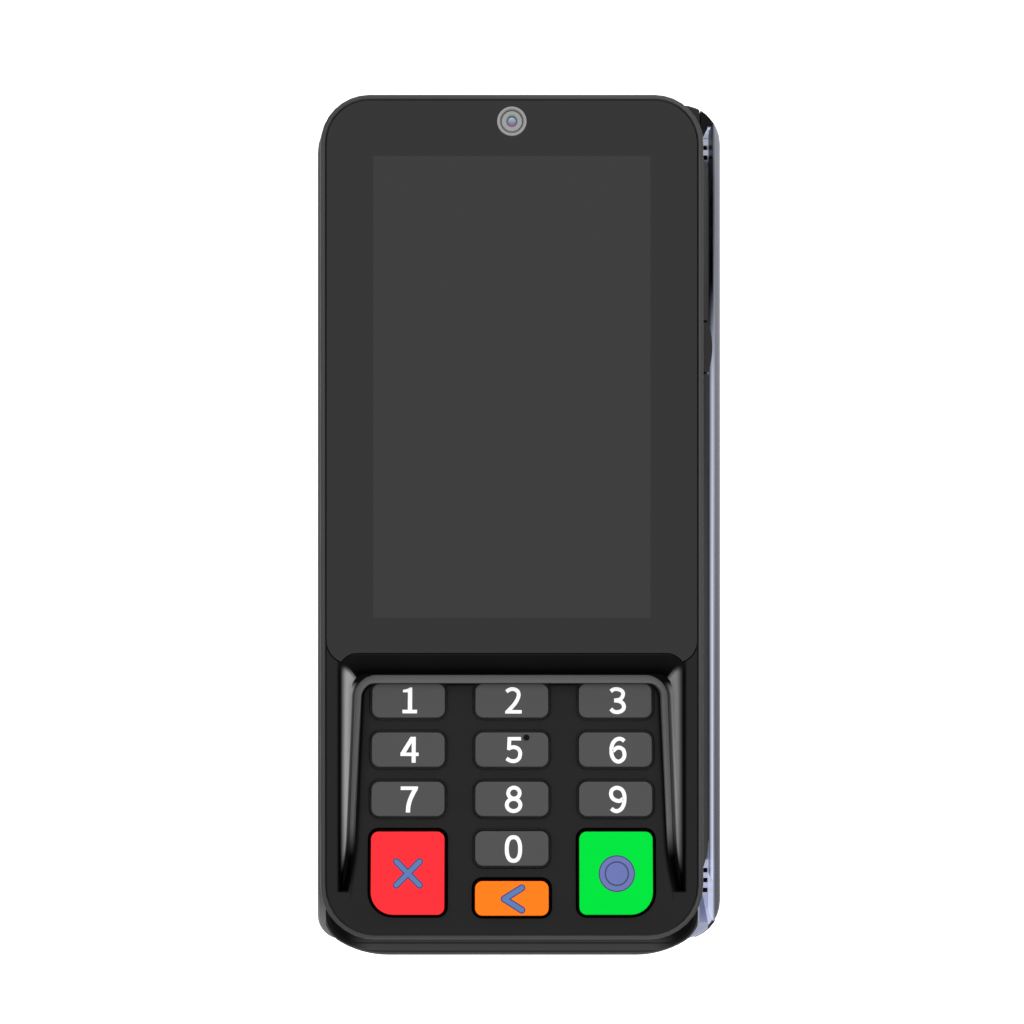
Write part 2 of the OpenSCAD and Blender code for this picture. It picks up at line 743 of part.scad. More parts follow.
module head_clearance() block(head_back - 2.2, slab_x, head_y - 11, head_y + 11, 0, guide_top + 0.6);

module antenna_loop() color("#b06a3a") home() {
    z = mid_z + mid_t + 0.05;
    difference() {
        prism(mid_outline(0.2), z, z + 0.2);
        prism(rounded(-module_x - 1.2, module_x + 1.2, module_y0 - 0.2, module_y1 + 0.2, [1, 1, 1, 1]),
            z - 1, z + 1);
        boss_clearance();
        head_clearance();
    }
}

// Frame of the camera's axis, with Z = 0 at the glass's back
module at_camera() home() translate([0, camera_y, panel_z - glass_t]) children();

module camera_ring() color("#b4b4b4") at_camera() rotate_extrude($fn = 64) polygon([
    [camera_r - 0.75, 0], [camera_r, 0], [camera_r, glass_t + 0.1], [camera_r - 0.12, glass_t + 0.22],
    [camera_r - 0.36, glass_t + 0.22], [camera_r - 0.5, glass_t + 0.05],
    [camera_r - 0.75, glass_t + 0.05],
]);

module camera_cone() color("#9a9a9a") at_camera() rotate_extrude($fn = 64) polygon([
    [lens_r + 0.05, 0], [camera_r - 0.8, 0], [camera_r - 0.8, glass_t - 0.05],
    [camera_r - 1, glass_t + 0.05], [lens_r + 0.5, glass_t + 0.02], [lens_r + 0.05, glass_t - 0.3],
]);

module camera_lens() color("#20242c") at_camera()
    intersection() {
        cylinder(r = lens_r, h = glass_t, $fn = 48);
        translate([0, 0, glass_t - 0.25 - 2.2]) sphere(r = 2.2, $fn = 64);
    }

module camera_module() color("#1c1c1e") home() translate([0, camera_y, 0]) {
    z = panel_z - glass_t - 0.3;
    translate([0, 0, z - 1.6]) cylinder(r = 1.9, h = 1.6, $fn = 48);
    block(-3.6, 3.6, -3.1, 3, z - 4.4, z - 1.6 + eps);
}

// ---- keypad ----

// Bay outline at a run inwards: rounded upper corners, straight sides, square lower end
function bay_outline(gap, depth) =
    let (
        x = bay_x + gap - bay_side_run * depth,
        y = bay_y1 + gap - bay_top_run * depth,
        r = bay_r + gap - 0.25 * depth
    )
    concat([[-x, bay_y0], [x, bay_y0]], arc([x - r, y - r], r, 0, 90), arc([r - x, y - r], r, 90, 180));

// Key field outline in the crest's frame, spreading downwards and bent outwards at its lower ends
function field_outline(grow, low) =
    let (
        top = (field_y1 - bay_y0) / cos(crest_tilt) + grow,
        x1 = field_x + grow,
        r = 2.4 + grow,
        side = [for (i = [0:5]) let (y = i * lip_bend_l / 5)
            [x1 + lip_out(y / lip_bend_l, y / top), i == 0 ? low : y]]
    )
    concat(
        [[-side[0][0], low], [side[0][0], low]], [for (i = [1:5]) side[i]],
        arc([x1 - r, top - r], r, 0, 90), arc([r - x1, top - r], r, 90, 180),
        [for (i = [5:-1:1]) [-side[i][0], side[i][1]]]
    );

function lip_out(bent, along) = lip_spread * (1 - along) + lip_flare * pow(1 - bent, 2);

module bay_cut() intersection() {
    loft([
        at_height(bay_outline(0, bay_cut_d), panel_z - bay_cut_d),
        at_height(bay_outline(0, -bay_lift), panel_z + bay_lift),
    ]);
    above_crest(-valley_d);
}

// Ridge round the key field: a flat crest with a slope down to the valley
module lip() intersection() {
    on_crest() union() {
        loft([
            at_height(field_outline(lip_flat + lip_w, 0), -valley_d - eps),
            at_height(field_outline(lip_flat, 0), 0),
        ]);
        prism(field_outline(lip_flat + lip_w, 0), -valley_d - 1.5, -valley_d);
    }
    block(-bay_x, bay_x, bay_y0 - eps, bay_y1, 0, panel_z);
}

module key_field_cut() {
    intersection() {
        on_crest() prism(field_outline(0, -3), -bay_cut_d, 2);
        above_floor(0);
    }
    // undercut that the upper keys reach into
    intersection() {
        block(-field_x + 1.2, field_x - 1.2, field_y1 - 2, field_y1 + 0.45, 0, face_z);
        above_floor(0);
        below_crest(-lip_t);
    }
}

module keypad_panel() color(face_dark) home() difference() {
    union() {
        difference() {
            panel_blank();
            bay_cut();
        }
        intersection() {
            lip();
            panel_blank();
        }
    }
    key_field_cut();
    on_floor() for (k = KEYS) translate([k[1] * key_pitch_x, k[2], 0])
        prism(key_outline(k, -key_gap), -5, key_rise + fit);
    for (p = screw_spots) translate([p[0], p[1], 0]) cylinder(r = boss_r, h = seat_z, $fn = 48);
}

// Panel before the bay is cut: a skirt under the bay and a flange on the ledge
module panel_blank() {
    under_glass_z = panel_z - glass_t - 0.2;
    intersection() {
        union() {
            prism(slab_outline(ledge_in + fit), split_z, under_glass_z);
            panel_face(under_glass_z - eps);
        }
        block(-far / 2, far / 2, -far / 2, bay_y1 + 1.7, 0, far);
        above_floor(-floor_t);
    }
    difference() {
        panel_face(seat_z + fit);
        block(-board_x - 1, board_x + 1, floor_y - 4.4, bay_y1, 0, panel_z - 0.3);
    }
    // posts that carry the keypad board
    on_floor() for (p = post_spots) translate([p[0], p[1], dome_z + shaft_gap])
        cylinder(r = 1.2, h = -floor_t - dome_z, $fn = 32);
}

module panel_face(z0) translate([0, 0, z0]) linear_extrude(panel_z - z0) difference() {
    polygon(slab_outline(rim_in));
    glass_area(-seam / 2);
    translate([-far / 2, bay_y1 + 4]) square(far);
}

function key_outline(k, inset) =
    let (
        w = k[3] / 2 - inset,
        h = k[4] / 2 - inset,
        r = key_r - inset,
        big = tall_key_r - inset
    )
    rounded(-w, w, -h, h, [k[5] < 0 ? big : r, k[5] > 0 ? big : r, r, r]);

module key(k) color(k[6]) home() on_floor() translate([k[1] * key_pitch_x, k[2], 0]) {
        loft([
            for (s = concat([[flange_z + flange_t - eps, 0]], top_edge(key_rise, key_edge)))
                at_height(key_outline(k, s[1]), s[0])
        ]);
        prism(key_outline(k, -flange_w), flange_z, flange_z + flange_t);
        translate([0, 0, stem_z]) cylinder(r = 2, h = flange_z - stem_z + eps, $fn = 32);
    }

module keypad_membrane() color("#8d8f92") home() on_floor() difference() {
    board_blank(web_z, web_t);
    for (k = KEYS) translate([k[1] * key_pitch_x, k[2], web_z - 1])
        cylinder(r = 2.5, h = web_t + 2, $fn = 32);
    for (p = post_spots) translate([p[0], p[1], web_z - 1])
        cylinder(r = 1.5, h = web_t + 2, $fn = 32);
}

module board_blank(z, t)
    prism(rounded(-board_x, board_x, key_first - 4.4, upper_row + 4.6, [6, 6, 2, 2]), z, z + t);

module keypad_board() color(board_green) home() on_floor() board_blank(dome_z - key_board_t, key_board_t);

module snap_domes() color(steel) home() on_floor() for (k = KEYS)
    translate([k[1] * key_pitch_x, k[2], dome_z]) cylinder(r1 = 2.6, r2 = 1.7, h = dome_h, $fn = 32);

// ---- electronics ----

module main_board() color(board_green) home() difference() {
    union() {
        block(-board_half, board_half, board_y0, board_y1, board_z, board_z + board_t);
        block(-slab_x + 2.6, -board_half + 1, port_y - 6, port_y + 6, board_z, board_z + board_t);
        block(-slab_x + 2.6, -board_half + 1, button_y - 4, button_y + 4, board_z, board_z + board_t);
    }
    for (p = screw_spots) translate([p[0], p[1], 0]) cylinder(r = boss_r + 0.4, h = far / 4, $fn = 48);
}

module shield_cans() color(steel) home() {
    z = board_z + board_t;
    edge = board_half - 4;
    for (c = [
        [-edge, -3, board_y0 + 5, board_y0 + 29], [1, edge, board_y0 + 10, board_y0 + 28],
        [-edge, 3, board_y1 - 34, board_y1 - 18], [6, edge - 3, board_y1 - 40, board_y1 - 20],
    ])
        block(c[0], c[1], c[2], c[3], z, z + 1.6);
}

module coin_cell() color("#c9ccd1") home() translate([cell_x, cell_y, board_z - 3.1]) {
    cylinder(r = cell_r, h = 2.4, $fn = 64);
    cylinder(r = cell_r - 1, h = 3, $fn = 64);
}

module speaker() color("#2b2b2d") home() translate([speaker_x, speaker_y, inner_back_z + 0.2])
    difference() {
        translate([0, 0, 2]) cube([speaker_w, speaker_l, 4], center = true);
        translate([0, 0, -1]) linear_extrude(1.4) polygon(centred(speaker_w - 3, speaker_l - 3, 3));
    }

module vibration_motor() color(steel) home() translate([cell_x, cell_y, inner_back_z]) {
    cylinder(r = 5, h = 2.8, $fn = 48);
    translate([5.5, 0, 0.4]) cube([4, 3, 0.8], center = true);
}

module usb_port() color("#c4c7cc") home() translate([0.6 - rear_x, port_y, board_z - 1.7])
    rotate([90, 0, 90]) {
        difference() {
            linear_extrude(7.3) polygon(centred(8.94, 3.2, 1.5));
            translate([0, 0, -1]) linear_extrude(7.4) polygon(centred(8.3, 2.5, 1.2));
        }
        translate([-3.3, -0.35, 1]) cube([6.6, 0.7, 5.8]);
    }

module power_switch() color("#c9ccd1") home() {
    x = button_back() + button_travel + 0.15;
    block(x, x + 1.6, button_y - 2.4, button_y + 2.4, button_z() - 1.5, board_z - eps);
}

function button_back() = rear_wall + 1.1 - rear_x;

module power_button() color(dark) home() translate([-rear_x, button_y, button_z()]) {
    w = button_l / 2;
    h = button_h / 2;
    hull() {
        block(0.4, 0.4 + eps, -w, w, -h, h);
        block(0.1, 0.1 + eps, 0.3 - w, w - 0.3, 0.3 - h, h - 0.3);
    }
    block(0.4, rear_wall + 0.5, -w, w, -h, h);
    // flange behind the housing's wall
    block(rear_wall + 0.3, button_back() + rear_x, -w - 0.8, w + 0.8, -h - 0.8, h + 0.8);
}

// ---- chip-card reader ----

module card_reader() color("#2b2b2d") home() difference() {
    block(-reader_x, reader_x, reader_y1, reader_y1 + card_depth + 1.5,
        card_z - reader_h / 2, card_z - card_slot_h / 2);
    bar_x(-27.2, 27.2, [
        [reader_y1 - 1, card_z - 1.2], [reader_y1 + 1.5, card_z - card_slot_h / 2], [reader_y1 - 1, card_z],
    ]);
}

// Side guides and end stop between the reader's base and its cover
module card_guides() color(steel) home() {
    z0 = card_z - card_slot_h / 2;
    z1 = card_z + card_slot_h / 2;
    for (x = [0.6 - reader_x, reader_x - 0.6])
        block(x - 0.6, x + 0.6, reader_y1, reader_y1 + card_depth, z0, z1);
    block(-reader_x, reader_x, reader_y1 + card_depth + 0.1, reader_y1 + card_depth + 1.5, z0, z1);
}

module reader_cover() color("#2b2b2d") home() difference() {
    block(-reader_x, reader_x, reader_y1, reader_y1 + card_depth + 1.5,
        card_z + card_slot_h / 2, card_z + reader_h / 2);
    bar_x(-27.2, 27.2, [
        [reader_y1 - 1, card_z + 1.2], [reader_y1 + 1.5, card_z + card_slot_h / 2], [reader_y1 - 1, card_z],
    ]);
    // window over the contacts
    block(-9, 9, contact_y() - 8, contact_y() + 8, card_z, card_z + reader_h);
}

function contact_y() = reader_y1 + card_depth - 15;

module card_contacts() color("#c8a24a") home() {
    z = card_z + card_slot_h / 2;
    block(-8.6, 8.6, contact_y() - 7.6, contact_y() + 7.6, z + 0.7, z + 1.5);
    for (x = [-3.81, 3.81], i = [0:3]) let (y = contact_y() - 4.3 + i * 2.54)
        block(x - 0.5, x + 0.5, y, y + 1.5, z - 0.1, z + 0.75);
}

// ---- swipe reader ----

module swipe_guide() color(dark) home() difference() {
    z0 = slot_z + 0.1;
    lead = 6;
    intersection() {
        // the guide's ends curve back towards the slab
        prism([
            [slab_x, guide_y0], [slab_x + 0.4, guide_y0],
            [guide_x - 0.3, guide_y0 + lead / 2], [guide_x, guide_y0 + lead],
            [guide_x, guide_y1 - lead], [guide_x - 0.3, guide_y1 - lead / 2],
            [slab_x + 0.4, guide_y1], [slab_x, guide_y1],
        ], z0, guide_top);
        // upper edge sloped into the slab's side
        bar_y(-slab_y, slab_y, [
            [slab_x, z0], [guide_x, z0], [guide_x, guide_top - 1.1], [guide_x - 0.15, guide_top - 0.6],
            [guide_x - 0.5, guide_top - 0.2], [guide_x - 1, guide_top], [slab_x, guide_top],
        ]);
    }
    block(slab_x - 1, guide_x + 1, head_y - head_l / 2 - 0.4, head_y + head_l / 2 + 0.4,
        head_z - head_h / 2 - fit, guide_top + 1);
}

module swipe_liner() color("#e4e7f5") home()
    block(rail_in, rail_in + liner_t, 0.1 - liner_half_l, liner_half_l - 0.1, slot_z + 0.5, liner_top);

// Dark end piece at the upper mouth: a shoulder beside the slot and a pad on its floor
module swipe_pad() color("#2d2d2d") home() {
    intersection() {
        block(slab_x + 0.2, guide_x - 0.1, mouth_y, slab_y, slot_z, split_z);
        prism(rear_outline(0.1), 0, far / 4);
    }
    difference() {
        intersection() {
            block(slab_x + 0.2, rail_out, mouth_y, slab_y, slot_z, slot_z + 0.5);
            translate(mouth_shift[1]) prism(rear_outline(0.05), 0, far / 4);
        }
        intersection() {
            block(rail_in - 0.15, far / 2, 0, far / 2, 0, far / 4);
            prism(rear_outline(-0.15), 0, far / 4);
        }
    }
}

module mag_head() color("#5a5b58") home() {
    intersection() {
        block(head_back, head_tip + 1, head_y - head_l / 2, head_y + head_l / 2,
            head_z - head_h / 2, head_z + head_h / 2);
        translate([head_tip - head_face_r, head_y, 0]) cylinder(r = head_face_r, h = far / 4, $fn = 256);
    }
}

module head_spring() color(steel) home() difference() {
    union() {
        block(spring_x - 0.3, spring_x, head_y - 10.2, head_y + 10.2, head_z - 2.5, head_z + 1);
        for (side = [-1, 1])
            block(spring_x - 0.3, spring_x, head_y + side * 9 - 1.2, head_y + side * 9 + 1.2,
                head_z - 3.5, head_z + 1.2);
    }
    // slots that leave narrow arms on both sides of the middle
    for (side = [-1, 1])
        block(spring_x - 1, spring_x + 1, head_y + side * 5 - 1.8, head_y + side * 5 + 1.8,
            head_z - 1.4, head_z - 0.1);
}

// ---- battery, door, fasteners, feet ----

module battery() color("#3d4046") home() translate([0, battery_y, 0])
    prism(centred(battery_w, battery_l, 2), inner_back_z + 0.1, inner_back_z + 0.1 + battery_t);

module battery_door() color(silver) home() translate([0, battery_y, 0]) difference() {
    union() {
        loft([
            at_height(door_outline(-0.4), back_z), at_height(door_outline(0), back_z + 0.4),
            at_height(door_outline(0), back_z + door_t),
        ]);
        // stiffening frame inside the bay
        difference() {
            block(0.4 - battery_x, battery_x - 0.4, 0.4 - battery_half_l, battery_half_l - 0.4,
                back_z + door_t - eps, inner_back_z);
            block(2 - battery_x, battery_x - 2, 2 - battery_half_l, battery_half_l - 2,
                back_z, inner_back_z + 1);
        }
        // hooks that reach under the housing's edge
        for (x = [-hook_x, hook_x]) {
            block(x - hook_w / 2, x + hook_w / 2, battery_half_l + 0.1, door_half_l - 0.2,
                back_z + door_t - eps, inner_back_z + 0.9);
            block(x - hook_w / 2, x + hook_w / 2, battery_half_l + 0.1, door_half_l + hook_l,
                inner_back_z + 0.2, inner_back_z + 0.9);
        }
    }
    finger_grip();
}

module finger_grip()
    for (i = [0:3]) translate([0, 3 + i * 2 - door_half_l, back_z]) rotate([0, 90, 0])
        cylinder(r = 0.4, h = 14, center = true, $fn = 24);

module housing_screws() color(steel) home() for (p = screw_spots) translate([p[0], p[1], 0]) difference() {
    union() {
        translate([0, 0, head_seat_z - 1.4]) cylinder(r = screw_head_r, h = 1.4, $fn = 48);
        translate([0, 0, head_seat_z - eps]) cylinder(r = screw_r, h = screw_l, $fn = 48);
    }
    for (a = [0, 90]) translate([0, 0, head_seat_z - 1.4]) rotate([0, 0, a])
        cube([2.4, 0.5, 1.4], center = true);
}

module rubber_feet() color("#232323") home() for (p = foot_spots) translate([p[0], p[1], 0]) {
    cylinder(r = foot_r, h = foot_h, $fn = 64);
}

rear_housing();
front_frame();
nose_bezel();
keypad_panel();
display_glass();
display_module();
mid_frame();
antenna_loop();
camera_ring();
camera_cone();
camera_lens();
camera_module();
keypad_membrane();
keypad_board();
snap_domes();
main_board();
shield_cans();
coin_cell();
speaker();
vibration_motor();
usb_port();
power_switch();
power_button();
card_reader();
card_guides();
reader_cover();
card_contacts();
swipe_rail();
swipe_guide();
swipe_liner();
swipe_pad();
mag_head();
head_spring();
battery_tub();
battery();
battery_door();
housing_screws();
rubber_feet();
for (k = KEYS) key(k);
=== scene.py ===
"""Looks of the card payment terminal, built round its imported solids."""

import json
import math

import bmesh
import bpy
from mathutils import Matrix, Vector


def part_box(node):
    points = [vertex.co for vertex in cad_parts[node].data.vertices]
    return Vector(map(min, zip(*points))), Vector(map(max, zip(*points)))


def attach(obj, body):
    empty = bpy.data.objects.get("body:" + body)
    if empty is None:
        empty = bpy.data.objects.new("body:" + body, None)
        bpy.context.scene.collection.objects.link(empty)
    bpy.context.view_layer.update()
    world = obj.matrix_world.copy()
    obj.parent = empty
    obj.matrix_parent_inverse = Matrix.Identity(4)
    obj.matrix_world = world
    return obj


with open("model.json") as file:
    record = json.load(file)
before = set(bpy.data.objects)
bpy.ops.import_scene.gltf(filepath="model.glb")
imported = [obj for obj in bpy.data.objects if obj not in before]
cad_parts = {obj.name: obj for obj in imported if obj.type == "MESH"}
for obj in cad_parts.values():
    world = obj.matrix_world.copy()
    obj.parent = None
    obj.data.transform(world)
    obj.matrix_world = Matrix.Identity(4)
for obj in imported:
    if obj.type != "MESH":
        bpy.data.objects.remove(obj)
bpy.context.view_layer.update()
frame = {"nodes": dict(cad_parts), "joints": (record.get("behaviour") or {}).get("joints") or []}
NODES = frame["nodes"]
JOINTS = {j["child"]: j for j in frame["joints"]}
MM = 0.001
STUDIO = 1.3             # light returned by a level, matt, white surface
BLACK = (0, 0, 0)
WHITE = (1, 1, 1)
LAVENDER = (172, 177, 203)           # display tone of the lacquer
# painted glow: the next tint colours emission that stands in for light between the slot's walls
SLOT_GLOW_TINT = (0.60, 0.64, 0.78)      # tint of the light between the swipe slot's walls
scene = bpy.context.scene

# places that several materials share
lo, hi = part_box("display_module")
WINDOW = (lo.x + 2.1 * MM, hi.x - 2.1 * MM, lo.y + 3.0 * MM, hi.y - 1.2 * MM)
lo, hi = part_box("front_frame")
MIDDLE = (lo + hi) / 2
BAY = {"half": 32.62 * MM, "low": MIDDLE.y - 70.0 * MM, "top": MIDDLE.y - 25.4 * MM,
       "lip": MIDDLE.y - 29.9 * MM}
SLOT_FLOOR = 2.9 * MM    # height of the swipe slot's floor


# ---- camera ----

EYE_HEIGHT = 380 * MM                # above the frame's crest
EYE_X, EYE_Y = 0.03 * MM, 0.98 * MM  # from the frame's middle
LENS, SENSOR = 71.4, 36              # mm


def add_camera():
    """Straight down on the screen from 380 mm, a little above the frame's middle."""
    lo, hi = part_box("front_frame")
    centre = (lo + hi) / 2
    data = bpy.data.cameras.new("camera")
    data.sensor_width = SENSOR
    data.lens = LENS
    data.clip_start = 0.01
    data.clip_end = 20
    cam = bpy.data.objects.new("camera", data)
    cam.location = (centre.x + EYE_X, centre.y + EYE_Y, hi.z + EYE_HEIGHT)
    scene.collection.objects.link(cam)
    scene.camera = cam


# ---- node helpers ----


class Tree:
    """Short names for building a node tree."""

    def __init__(self, owner):
        owner.use_nodes = True
        self.tree = owner.node_tree
        self.tree.nodes.clear()

    def node(self, kind, **values):
        n = self.tree.nodes.new(kind)
        for key, value in values.items():
            setattr(n, key, value)
        return n

    def link(self, a, b):
        self.tree.links.new(a, b)

    def feed(self, socket, value):
        if isinstance(value, bpy.types.NodeSocket):
            self.link(value, socket)
        elif value is not None:
            if socket.type == "RGBA" and len(value) == 3:
                value = (*value, 1.0)
            socket.default_value = value

    def math(self, operation, a, b=None, c=None, clamp=False):
        n = self.node("ShaderNodeMath", operation=operation, use_clamp=clamp)
        for socket, value in zip(n.inputs, (a, b, c)):
            self.feed(socket, value)
        return n.outputs[0]

    def product(self, first, *others):
        """All the values multiplied together."""
        for other in others:
            first = self.math("MULTIPLY", first, other)
        return first

    def without(self, mask):
        """1 where the mask is 0, down to 0 where it is 1."""
        return self.math("SUBTRACT", 1.0, mask, clamp=True)

    def length(self, dx, dy):
        """Length of a level vector."""
        return self.math("SQRT", self.math("ADD", self.product(dx, dx), self.product(dy, dy)))

    def mix(self, factor, a, b):
        n = self.node("ShaderNodeMix", data_type="RGBA")
        self.feed(n.inputs[0], factor)
        self.feed(n.inputs[6], a)
        self.feed(n.inputs[7], b)
        return n.outputs[2]

    def ramp(self, value, low, high, to_low=0.0, to_high=1.0, smooth=True):
        """value, mapped from low..high to to_low..to_high and clamped."""
        n = self.node("ShaderNodeMapRange", interpolation_type="SMOOTHSTEP" if smooth else "LINEAR")
        for socket, v in zip(n.inputs, (value, low, high, to_low, to_high)):
            self.feed(socket, v)
        return n.outputs[0]

    def inside(self, value, low, high, soft):
        """1 where value is between low and high, with edges soft wide."""
        up = self.ramp(value, low - soft, low + soft)
        down = self.ramp(value, high - soft, high + soft)
        return self.math("SUBTRACT", up, down, clamp=True)

    def coordinates(self, output="Object"):
        return self.node("ShaderNodeTexCoord").outputs[output]

    def split(self, vector):
        n = self.node("ShaderNodeSeparateXYZ")
        self.link(vector, n.inputs[0])
        return n.outputs

    def place(self):
        """X, Y and Z of the surface in the object's own frame, in metres."""
        return self.split(self.coordinates())

    def facing(self):
        """X, Y and Z of the surface's normal in the object's own frame."""
        return self.split(self.coordinates("Normal"))

    def apart(self, value, middle):
        """Distance of value from middle."""
        return self.math("ABSOLUTE", self.math("SUBTRACT", value, middle))

    def side(self, value, middle):
        """-1 where value is below middle, 1 where it is above."""
        return self.math("SIGN", self.math("SUBTRACT", value, middle))

    def noise(self, size, detail, rough=0.55, stretch=(1, 1, 1)):
        """Noise whose features are about size across, in metres."""
        scaled = self.node("ShaderNodeMapping")
        scaled.inputs["Scale"].default_value = stretch
        self.link(self.coordinates(), scaled.inputs[0])
        n = self.node("ShaderNodeTexNoise")
        n.inputs["Scale"].default_value = 1 / size
        n.inputs["Detail"].default_value = detail
        n.inputs["Roughness"].default_value = rough
        self.link(scaled.outputs[0], n.inputs["Vector"])
        return n.outputs["Fac"]

    def uneven(self, size, detail, low, high):
        """A value that drifts between low and high over patches about size across."""
        return self.ramp(self.noise(size, detail), 0.3, 0.7, low, high)

    def grain(self, size=0.12 * MM, strength=0.6, depth=0.004 * MM):
        """Normal of a fine, even grain, the moulded parts' unless given."""
        return self.bump(self.noise(size, 2), strength, depth)

    def bump(self, height, strength, distance):
        n = self.node("ShaderNodeBump")
        n.inputs["Strength"].default_value = strength
        n.inputs["Distance"].default_value = distance
        self.link(height, n.inputs["Height"])
        return n.outputs[0]

    def surface(self, **inputs):
        """Principled surface; a socket's name is given with _ for each space."""
        n = self.node("ShaderNodeBsdfPrincipled")
        for key, value in inputs.items():
            self.feed(n.inputs[key.replace("_", " ")], value)
        out = self.node("ShaderNodeOutputMaterial")
        self.link(n.outputs[0], out.inputs[0])


def material(name):
    """A new material and the tree of its nodes."""
    m = bpy.data.materials.new(name)
    return m, Tree(m)


def hi_of(node):
    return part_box(node)[1]


def shade(rgb, factor):
    return tuple(min(1.0, c * factor) for c in rgb)


def tone(r, g=None, b=None):
    """Base colour that shows as about that display tone (0 to 255) on a level, matt surface."""
    g, b = (r, r) if g is None else (g, b)
    out = []
    for c in (r / 255, g / 255, b / 255):
        out.append((c / 12.92 if c < 0.04045 else ((c + 0.055) / 1.055) ** 2.4) / STUDIO)
    return tuple(out)


def plastic(name, colour, rough=0.5, vary=0.06, spec=0.2):
    """Moulded plastic: a fine spark-eroded grain, faint mottling and marks in its gloss."""
    m, t = material(name)
    mottle = t.noise(7 * MM, 4)
    base = t.mix(mottle, shade(colour, 1 - vary), shade(colour, 1 + vary))
    gloss = t.uneven(16 * MM, 2, rough - 0.05, rough + 0.05)
    skin = t.grain()
    t.surface(Base_Color=base, Roughness=gloss, Normal=skin, IOR=1.5, Specular_IOR_Level=spec)
    return m


def key_plastic(name, colour, spec=0.15, side_shade=0.12, low=0.4, node=None):
    """Moulded key: coloured on top, with painted shade darkening its sides and its flange, and a
    soft grain.
    """
    m, t = material(name)
    _, _, nz = t.facing()
    up = t.ramp(nz, low, low + 0.2)
    if node:
        _, y, z = t.place()
        top = KeyTop(node)
        height = t.math("MULTIPLY_ADD", y, top.normal.y, t.product(z, top.normal.z))
        near_top = t.ramp(height, top.height - 0.6 * MM, top.height - 0.4 * MM)
        up = t.product(up, near_top)
    mottle = t.noise(6 * MM, 4)
    base = t.mix(mottle, shade(colour, 0.98), shade(colour, 1.02))
    # painted shade: the sides and flange take a small fraction of the key's colour
    base = t.mix(up, shade(colour, side_shade), base)
    gloss = t.uneven(11 * MM, 2, 0.40, 0.50)
    skin = t.grain(0.1 * MM, 0.5, 0.003 * MM)
    t.surface(Base_Color=base, Roughness=gloss, Normal=skin, IOR=1.5, Specular_IOR_Level=spec)
    return m


def frame_plastic(name):
    """Dark satin plastic of the screen's frame, with a painted highlight on its crest, painted
    shade on its sides and near black painted shade at its corners.
    """
    m, t = material(name)
    x, y, z = t.place()
    nx, ny, nz = t.facing()
    top = hi_of("front_frame").z
    crest = t.ramp(z, top - 0.5 * MM, top - 0.05 * MM)
    right = t.ramp(x, MIDDLE.x - 20 * MM, MIDDLE.x + 20 * MM)
    mottle = t.noise(7 * MM, 4)
    base = t.mix(mottle, tone(56), tone(60))
    # painted highlight on the crest, brighter on the right
    base = t.mix(crest, base, t.mix(right, tone(63), tone(70)))
    bevel = t.ramp(nz, 0.05, 0.2)
    # painted shade on the side-facing bevels
    side = t.product(t.ramp(t.math("ABSOLUTE", nx), 0.25, 0.6), bevel)
    base = t.mix(side, base, tone(44))
    # near black painted shade where the bevel goes round the corners
    corner_turn_shade = t.ramp(t.math("ABSOLUTE", t.product(nx, ny)), 0.12, 0.3)
    base = t.mix(t.product(corner_turn_shade, bevel), base, tone(25))
    # painted highlight along the crest's low edge
    low_edge_highlight = t.product(crest, t.ramp(y, MIDDLE.y - 78.5 * MM, MIDDLE.y - 78.8 * MM))
    base = t.mix(low_edge_highlight, base, tone(74))
    # painted light: a faint glow between the frame and the glass
    sides = []
    for place, normal, middle in ((x, nx, MIDDLE.x), (y, ny, MIDDLE.y)):
        sides.append(t.ramp(t.product(normal, t.side(place, middle)), -0.5, -0.9))
    gap_glow = t.product(t.math("MAXIMUM", *sides), t.ramp(z, top - 0.3 * MM, top - 0.5 * MM), 0.022)
    gloss = t.uneven(16 * MM, 2, 0.4, 0.5)
    skin = t.grain()
    t.surface(Base_Color=base, Roughness=gloss, Normal=skin, IOR=1.5, Specular_IOR_Level=0.12,
              Emission_Color=WHITE, Emission_Strength=gap_glow)
    return m


def nose_plastic(name):
    """The frame's plastic on the nose, with painted shade in a groove and along its rounded edge,
    sinking to near black round its corners.
    """
    m, t = material(name)
    x, y, _ = t.place()
    off = t.apart(x, MIDDLE.x)
    round_corner_shade = t.ramp(off, 26 * MM, 31.5 * MM)
    mottle = t.noise(7 * MM, 4)
    base = t.mix(mottle, tone(60), tone(64))
    # painted shade in the groove by the frame and along the rounded edge
    groove = t.inside(y, MIDDLE.y - 80.05 * MM, MIDDLE.y - 79.75 * MM, 0.05 * MM)
    edge = t.inside(y, MIDDLE.y - 81.7 * MM, MIDDLE.y - 81.35 * MM, 0.05 * MM)
    base = t.mix(t.math("MAXIMUM", groove, edge), base, tone(38))
    # near black painted shade round the corners
    base = t.mix(round_corner_shade, base, tone(3))
    gloss = t.uneven(16 * MM, 2, 0.4, 0.5)
    skin = t.grain()
    t.surface(Base_Color=base, Roughness=gloss, Normal=skin, IOR=1.5, Specular_IOR_Level=0.05)
    return m


